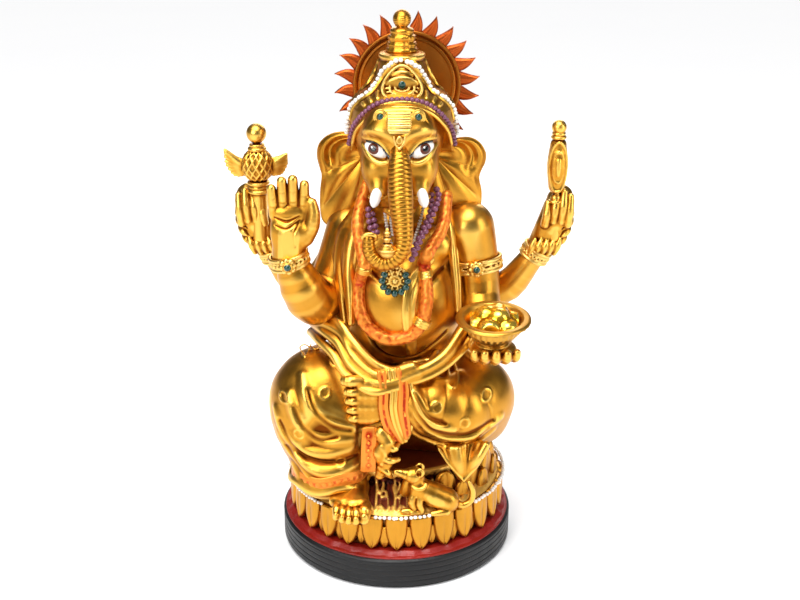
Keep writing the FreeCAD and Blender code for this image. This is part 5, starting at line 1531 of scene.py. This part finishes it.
def build_bands():
    """Four bracelets and one armlet: double rims, a row of beads and a flower with a stone."""
    for index, (start, end, radius, flower) in enumerate(BAND_PLACES, 1):
        along, across, front = frame_along(start, end)
        middle = belly + (np.array(start) + end) / 2
        clay = Clay(middle - radius - 6, middle + radius + 6, 0.38)
        for shift, thick in ((-2.8, 0.95), (2.8, 0.95), (-1.1, 0.7), (1.1, 0.7)):
            clay.rope(ellipse(middle + along * shift, front * radius, across * radius, 24), thick, 0.3,
                      closed=True, pitch=1.6)
        for k in range(22):
            a = math.tau * k / 22
            clay.ball(middle + (radius + 0.3) * (across * math.sin(a) + front * math.cos(a)), 0.85, 0.2)
        if flower:
            spot = middle + front * (radius + 0.9)
            for k in range(8):
                a = math.tau * k / 8
                clay.ball(spot + 3.1 * (across * math.cos(a) + along * math.sin(a)), 1.45, 0.4)
            clay.ball(spot - front * 0.4, 3.0, 0.4)
            ring = ellipse(spot + front * 1.2, across * 2.0, along * 2.0, 12)
            clay.rope(ring, 0.5, 0.2, closed=True, pitch=0.8)
        nodes = ("arm_bands",) if index == 1 else ()
        cast("bracelet_%d" % index, clay, pale_gold, "pale_gold_paint", *nodes)
        if flower:
            gem = Clay(spot - 4, spot + 4, 0.25)
            gem.ball(spot + front * 1.6, (1.9, 1.6, 1.9))
            cast("bracelet_stone_%d" % index, gem, green, "green_gem")


def cast_inside(name, clay, material, slot, node):
    """Trims clay to its node's box and adds it as a piece."""
    low, high = node_box(node)
    for i, axis in enumerate(clay.axes):
        shape = [1, 1, 1]
        shape[i] = len(axis)
        over = np.maximum(low[i] - axis, axis - high[i]).astype(np.float32).reshape(shape)
        clay.field = np.maximum(clay.field, over)
    cast(name, clay, material, slot, node)


def build_raised_hand():
    """The front right hand, open and facing forwards in blessing."""
    wrist = belly + (-58.2, -24.5, 31)
    clay = Clay(belly + (-71, -32, 26), belly + (-36, -12, 75), 0.4)
    clay.rope([wrist, wrist + (0.6, 0, 6), wrist + (1.0, -0.5, 12)], [8.6, 8.8, 8.4])
    palm = wrist + (1.6, -0.6, 16)
    clay.ball(palm, (10.2, 4.6, 11.5), 3)
    clay.ball(palm + (-0.5, -0.4, 7), (10.2, 4.0, 5.0), 3)
    fingers = ((-8.0, 8.5, 19.6, 2.75, -1.0), (-3.2, 10, 23.4, 2.95, -0.5), (1.8, 10, 24.2, 3.0, 0.1),
               (6.8, 8.5, 21.6, 2.85, 0.9))
    for dx, root, tip, r, lean in fingers:
        base = palm + (dx, -0.4, root - 3)
        end = palm + (dx + lean, -1.4, tip)
        mid = (base + end) / 2 + (0, -0.2, 0)
        clay.rope([base, mid, end], [r, r, r * 0.84], 0.5)
        for share in (0.36, 0.68):
            spot = base + (end - base) * share
            clay.rope([spot + (-r, -r * 0.9, 0), spot + (0, -r * 1.15, -0.2), spot + (r, -r * 0.9, 0)],
                      0.32, 0.5, cut=True)
    clay.rope([palm + (7.5, -1, -6), palm + (11, -2.4, 0.5), palm + (12.2, -2.6, 7.2),
               palm + (11.4, -2.2, 12.4)],
              [4.6, 4.1, 3.2, 2.5], 2.2)
    clay.ball(palm + (6.4, -2.6, -4.5), (4.2, 3.0, 6.0), 2.5)
    clay.ball(palm + (-6.2, -2.2, -4.5), (3.6, 2.6, 7.0), 2.5)
    for line in (((4.5, 2.5), (2.0, -3), (2.4, -9)), ((-8, 5.2), (-1.5, 3.4), (5, 6.0)),
                 ((-7.6, 1.2), (-1.5, 0.2), (5, 4.0))):
        clay.ridge(palm, line, 0.55, 0.9, 0.1, cut=True)
    cast("blessing_hand", clay, gold, "gold_paint", "front_right_hand")


def build_back_hand(name, node, wrist, side):
    """A tall cupped rear hand: fingers up its front and a wavy, leaf-like outer edge."""
    low, high = node_box(node)
    clay = Clay(low - 1, high + 1, 0.4)

    def at(x, y, z):
        return wrist + np.array((side * x, y, z))

    clay.rope([at(0, 0, 0), at(5, 0, 10), at(10, 0, 20), at(12.5, 0.5, 30), at(13, 0.5, 34)],
              [6.4, 7.6, 8.8, 7.6, 5.0])
    clay.ball(at(4.0, -3.0, 14), (4.6, 3.6, 7.5), 2.5)
    for dx, root, tip, r in ((4.5, 19, 30, 2.4), (8.8, 21, 34.5, 2.5), (13.0, 21, 36.5, 2.5),
                             (16.6, 19, 34, 2.3)):
        clay.rope([at(dx - 0.8, -7.2, root), at(dx, -8.0, (root + tip) / 2), at(dx + 0.6, -5.6, tip)],
                  [r, r, r * 0.8], 0.5)
    for k in range(6):
        rise = 9 + 4.6 * k
        out = 11.5 + 5.6 * math.sin(math.pi * (k + 1.0) / 7.5)
        clay.rope([at(out * 0.62, -5.6, rise - 2), at(out, -4.6, rise), at(out + 2.6, -1.2, rise + 2.6)],
                  [1.8, 2.1, 1.0], 0.7)
        clay.rope([at(out - 3.4, -7.4, rise - 2.2), at(out - 1.0, -6.6, rise + 1.4)], 0.6, 0.5, cut=True)
    for k in range(5):
        clay.rope([at(-4 + 3.4 * k, -6.6 + 0.4 * abs(k - 2), 2),
                   at(-2.6 + 3.4 * k, -8.4 + 0.5 * abs(k - 2), 6.5),
                   at(-1.2 + 3.4 * k, -7.2, 10.5)], [1.5, 2.0, 0.8], 0.8)
    cast_inside(name, clay, gold, "gold_paint", node)


MACE_LEAVES = (((-5.0, 37.5), (-8.5, 36.4), (-12.3, 36.5), (-16.1, 41.7), (-17.0, 49.9), (-14.2, 46.8),
                (-9.0, 45.0)),
               ((5.0, 37.5), (8.4, 36.5), (12.9, 37.8), (16.1, 44.3), (15.7, 47.6), (12.0, 46.0),
                (8.4, 45.5)))


def build_mace():
    """The netted bulb of the mace between two spread leaves."""
    low, high = node_box("mace")
    base = np.array([mace_axis[0], mace_axis[1], low[2]])
    clay = Clay(low - 1, high + 1, 0.36)
    clay.rope([base + (0, 0, 2), base + (0, 0, 28)], 4.4)
    for rise, r, thick in ((27.6, 6.0, 1.2), (29.8, 5.2, 1.0), (32.0, 5.8, 1.1), (50.4, 4.6, 1.1),
                           (52.4, 3.8, 0.9)):
        ring = ellipse(base + (0, 0, rise), (r * 0.85, 0, 0), (0, r * 0.85, 0), 16)
        clay.rope(ring, thick, 0.5, closed=True)
        clay.ball(base + (0, 0, rise), (r * 0.85, r * 0.85, 1.2), 0.4)
    bulb = base + (0, 0, 41.5)
    clay.ball(bulb, (8.2, 7.8, 8.9))
    for k in range(-6, 7):
        for slant in (-1, 1):
            line = []
            for t in np.linspace(-1, 1, 13):
                a = k * 0.5 + slant * t * 0.9
                line.append(bulb + (8.3 * math.sin(a) * math.cos(t * 1.25),
                                    -7.9 * math.cos(a) * math.cos(t * 1.25),
                                    9.0 * math.sin(t * 1.25)))
            clay.rope(line, 0.5, 0.4, pitch=1.4)
    for leaf in MACE_LEAVES:
        root = np.array(leaf[0])
        for k, (x, z) in enumerate(smooth_line([(x, z, 0) for x, z in leaf[1:]], 2.2)[:, :2]):
            tip = base + (x, -0.8, z)
            clay.rope([base + (root[0], -0.6, root[1] + 2.4), (base + (root[0], -1.2,
                                                                       root[1] + 2.4) + tip) / 2, tip],
                      [1.5, 1.35, 0.9], 0.7)
    clay.ball(base + (0, 0, 58.6), 5.3)
    cast_inside("mace_cast", clay, gold, "gold_paint", "mace")


def build_goad():
    """The goad with its oval head."""
    low, high = node_box("goad")
    base = foot_middle(low, high)
    clay = Clay(low - 1, high + 1, 0.36)
    clay.rope([base + (0, 0, 2), base + (0, 0, 24)], 3.0)
    body = base + (0, 0, 42)
    clay.rope([body + (0, 0, -11), body, body + (0, 0, 11)], [4.4, 5.6, 4.4])
    for reach, thick in ((1.0, 0.8), (0.62, 0.7)):
        ring = [body + (4.5 * reach * math.cos(a), -4.4 - 0.7 * (1 - reach) + 1.8 * abs(math.cos(a)) * reach,
                        13.4 * reach * math.sin(a)) for a in turns(20)]
        clay.rope(ring, thick, 0.4, closed=True, pitch=1.2)
    clay.ball(body + (0, -5.2, 0), (1.3, 0.9, 5.0), 0.5)
    for rise, r in ((57.4, 4.0), (59.4, 3.4), (22.5, 4.0)):
        ring = ellipse(base + (0, 0, rise), (r * 0.8, 0, 0), (0, r * 0.8, 0), 16)
        clay.rope(ring, 0.95, 0.4, closed=True)
        clay.ball(base + (0, 0, rise), (r * 0.8, r * 0.8, 1.3), 0.4)
    clay.ball(np.array([base[0], base[1], high[2] - 4.0]), 3.9)
    cast_inside("goad_cast", clay, gold, "gold_paint", "goad")


BOWL_TILT = math.radians(6.0)


def build_bowl():
    """The tilted bowl and the sweets in it."""
    middle = foot_middle(bowl_low, bowl_high)
    rim = (bowl_high[0] - bowl_low[0]) / 2 - 0.1
    tall = 16.0
    profile = [(8.2, 0.0), (8.8, 0.6), (8.8, 1.6), (7.6, 2.4), (8.4, 3.4), (11.6, 5.4), (14.2, 9.0),
               (15.0, 12.2),
               (15.2, 13.4), (rim - 0.4, 14.0), (rim, 14.7), (rim - 0.2, tall - 0.6), (rim - 1.2, tall),
               (rim - 3.8, tall - 0.2),
               (rim - 5.0, tall - 1.6), (12.6, 10.0), (9.0, 6.4), (0.5, 5.4)]

    def flutes(row, angle):
        return 0.22 * math.cos(28 * angle) if 26 < row < 46 else 0.0

    mesh = lathe_mesh("bowl_cast", (0, 0, 0), rounded_profile(profile, 0.45), 168, flutes)
    c, s = math.cos(BOWL_TILT), math.sin(BOWL_TILT)
    spot = middle + (0, 0.8, 2.0)
    reshape(mesh, lambda x, y, z: (x + spot[0], y * c - z * s + spot[1], y * s + z * c + spot[2]))
    add_piece("bowl_cast", mesh, pale_gold, "copper_paint", "bowl")
    low, high = node_box("sweets")
    clay = Clay(low - 2, high + 1, 0.42)
    centre = foot_middle(low, high)
    rise = high[2] - low[2]
    for ring, count, level, turn in ((9.0, 6, rise - 10.5, 0.2), (3.6, 3, rise - 6.2, 0.5)):
        for k in range(count):
            a = math.tau * (k + turn) / count
            clay.ball(centre + (ring * math.cos(a), ring * math.sin(a), level + 0.6 * math.sin(3 * a)),
                      (6.0, 6.0, 5.0), 1.6)
    cast_inside("sweet_pile", clay, sweet_gold, "yellow_sweet", "sweets")


def build_bowl_hand():
    """The hand under the bowl, its fingers curled up at the front."""
    low, high = node_box("front_left_hand")
    clay = Clay(low - 1, high + 1, 0.4)
    centre = (low + high) / 2
    clay.ball(centre + (0, 3, -1), (12, 11, 5.5))
    for dx, back, r in ((-9.8, 2.2, 2.5), (-5.0, 0.6, 2.8), (0.2, 0.0, 2.9), (5.4, 0.6, 2.8),
                        (10.0, 2.2, 2.5)):
        clay.rope([centre + (dx * 0.8, 3, -2.4), centre + (dx, -5.0 + back, -3.4),
                   centre + (dx * 1.06, -10.0 + back, -0.6),
                   centre + (dx * 1.1, -11.5 + back, 2.4)], [3.2, r, r * 0.95, r * 0.75], 1.6)
    cast_inside("bowl_hand_cast", clay, gold, "gold_paint", "front_left_hand")


def build_mouse():
    """The small mouse with its ears, paws and tail."""
    spot = np.array([18.0, -52.5, ledge[2]])
    clay = Clay(mouse_low - 1, mouse_high + 1, 0.33)
    clay.rope(points_from(spot, (9, 0.5, 6.6), (2, 0, 10.4), (-6, 0, 14.8)), [6.9, 6.8, 5.6])
    clay.rope(points_from(spot, (12, 1, 6), (18, 2, 2.4), (22.5, 2.6, 5), (23.4, 2.8, 10.6), (21.4, 2.8, 16)),
              [2.4, 1.9, 1.8, 1.6, 1.1], 0.8)
    clay.ball(spot + (9.5, -1.8, 6.0), (5.6, 3.6, 5.6), 1.5)
    clay.rope(points_from(spot, (-6, 0, 14), (-7.4, 0, 20.5), (-8.4, -0.4, 22.2)), [5.0, 4.2, 4.6], 1.5)
    clay.rope(points_from(spot, (-8.4, -0.4, 22.2), (-13, -1.2, 23.4), (-18.2, -2, 25.4)), [4.6, 3.0, 1.6],
              1.5)
    for dy in (-3.6, 2.6):
        clay.ball(spot + (-5.4, dy, 25.4), (2.6, 1.5, 2.9), 0.5)
        clay.ball(spot + (-6.0, dy - 0.8, 25.4), (1.5, 1.0, 1.8), 0.4, cut=True)
    clay.ball(spot + (-11.2, -3.4, 24.0), 0.85, 0.2)
    clay.rope(points_from(spot, (-8, -2.4, 13), (-9.6, -4.0, 8), (-8.4, -4.2, 3.2), (-14.4, -4.4, 2.2)),
              [2.6, 2.3, 2.0, 1.7], 0.9)
    clay.rope(points_from(spot, (-5, -3.6, 12), (-5.6, -5.0, 7), (-4.6, -5.0, 2.8), (-9.4, -5.4, 1.9)),
              [2.2, 2.0, 1.9, 1.5], 0.7)
    clay.rope(points_from(spot, (9, -4.6, 2.4), (4, -5.4, 1.8), (1.5, -5.6, 1.6)), [2.4, 1.9, 1.5], 0.8)
    for k in range(5):
        x = -6.5 + 3.8 * k
        drop = 0.78 * (x + 6.5)
        clay.rope([spot + (x - 0.8, -5.2, 11.5 - drop * 0.5), spot + (x + 0.6, -4.0, 15.6 - drop * 0.62)],
                  0.55, 0.5)
    clay.rope(points_from(spot, (-9.6, -3.4, 17.4), (-7.4, -4.9, 16.4), (-3.6, -4.8, 16.6),
                          (-2.2, -3.2, 18.4)), 0.85, 0.4)
    cast_inside("mouse_cast", clay, gold, "gold_paint", "mouse")


# ---- the whole statue ----------------------------------------------------------------------------
def build_statue():
    """All pieces, from the base up."""
    build_plinth()
    build_lower_tier()
    build_base_pearls()
    build_seat()
    build_hips()
    build_right_leg()
    build_left_leg()
    build_feet()
    build_leg_trim()
    torso = build_torso()
    build_sashes(torso)
    build_garland(torso)
    build_necklaces(torso)
    skull = build_head()
    build_trunk()
    build_eyes(skull)
    build_brow_trim(skull)
    build_ears()
    build_crown()
    build_halo()
    build_arms()
    build_bands()
    build_raised_hand()
    build_back_hand("mace_hand", "rear_right_hand", belly + (-70, 15, 19), -1)
    build_back_hand("goad_hand", "rear_left_hand", belly + (74, 16, 18), 1)
    build_mace()
    build_goad()
    build_bowl()
    build_bowl_hand()
    build_mouse()


# ---- floor, lights and camera ----------------------------------------------------------------------
# Places and sizes in this section are in metres.
FLOOR_CELLS = 64
FLOOR_HALF = 8.0
WORLD_STRENGTH = 0.11
SUN_STRENGTH = 3.5
SUN_SPREAD = math.radians(50)
SUN_TURN = (math.radians(14), math.radians(-10), 0)
LIGHT_TARGET = (0, 0, 0.15)
LIGHTS = (
    ("key", (-0.55, -0.75, 0.60), (0.55, 0.55), 6.0),
    ("fill", (0.85, -0.40, 0.45), (0.35, 0.7), 3.6),
    ("top", (0.05, -0.25, 0.95), (0.40, 0.40), 2.6),
    ("back", (0.1, 0.85, 0.6), (0.8, 0.5), 4.0),
)


def build_floor():
    """A plain pale floor."""
    side = FLOOR_CELLS + 1
    step = 2 * FLOOR_HALF / FLOOR_CELLS
    points = [(-FLOOR_HALF + step * i, -FLOOR_HALF + step * j, 0.0) for i in range(side) for j in range(side)]
    faces = [f[::-1] for f in grid_faces(side, side, False)]
    mesh = bpy.data.meshes.new("floor")
    mesh.from_pydata(points, [], faces)
    material, nodes, links, shader = new_material("floor_paper")
    grain = noise(nodes, links, 3.0, 4.0)
    links.new(blend_colours(nodes, links, grain, (0.86, 0.86, 0.87), (0.88, 0.88, 0.88)),
              shader.inputs["Base Color"])
    shader.inputs["Roughness"].default_value = 0.7
    mesh.materials.append(material)
    floor = bpy.data.objects.new("floor", mesh)
    bpy.context.scene.collection.objects.link(floor)


def add_light(name, place, size, power):
    """A soft white panel that faces the statue."""
    data = bpy.data.lights.new(name, "AREA")
    data.shape = "RECTANGLE"
    data.size, data.size_y = size
    data.energy = power
    light = bpy.data.objects.new(name, data)
    bpy.context.scene.collection.objects.link(light)
    light.location = place
    light.rotation_euler = (Vector(LIGHT_TARGET) - Vector(place)).to_track_quat("-Z", "Y").to_euler()


def build_lights():
    """A pale world, four soft panels and a wide soft sun."""
    world = bpy.data.worlds.new("studio")
    bpy.context.scene.world = world
    world.use_nodes = True
    world.node_tree.nodes["Background"].inputs["Color"].default_value = (1.0, 1.0, 1.0, 1.0)
    world.node_tree.nodes["Background"].inputs["Strength"].default_value = WORLD_STRENGTH
    for name, place, size, power in LIGHTS:
        add_light(name, place, size, power)
    data = bpy.data.lights.new("sun", "SUN")
    data.energy = SUN_STRENGTH
    data.angle = SUN_SPREAD
    sun = bpy.data.objects.new("sun", data)
    bpy.context.scene.collection.objects.link(sun)
    sun.rotation_euler = SUN_TURN


CAMERA_PLACE = (0.0, -0.6179, 0.3789)
CAMERA_TARGET = (0.0, 0.0, 0.133)
CAMERA_LENS = 53.64
CAMERA_SHIFT = (0.0044, 0.0236)
SENSOR_WIDTH = 36.0


def build_camera():
    """The camera in front of the statue, looking slightly down."""
    data = bpy.data.cameras.new("camera")
    data.lens = CAMERA_LENS
    data.sensor_width = SENSOR_WIDTH
    data.shift_x, data.shift_y = CAMERA_SHIFT
    camera = bpy.data.objects.new("camera", data)
    bpy.context.scene.collection.objects.link(camera)
    camera.location = CAMERA_PLACE
    camera.rotation_euler = (Vector(CAMERA_TARGET) - Vector(CAMERA_PLACE)).to_track_quat("-Z", "Y").to_euler()
    bpy.context.scene.camera = camera


bpy.context.scene.view_settings.view_transform = "Standard"
build_statue()
build_floor()
build_lights()
build_camera()
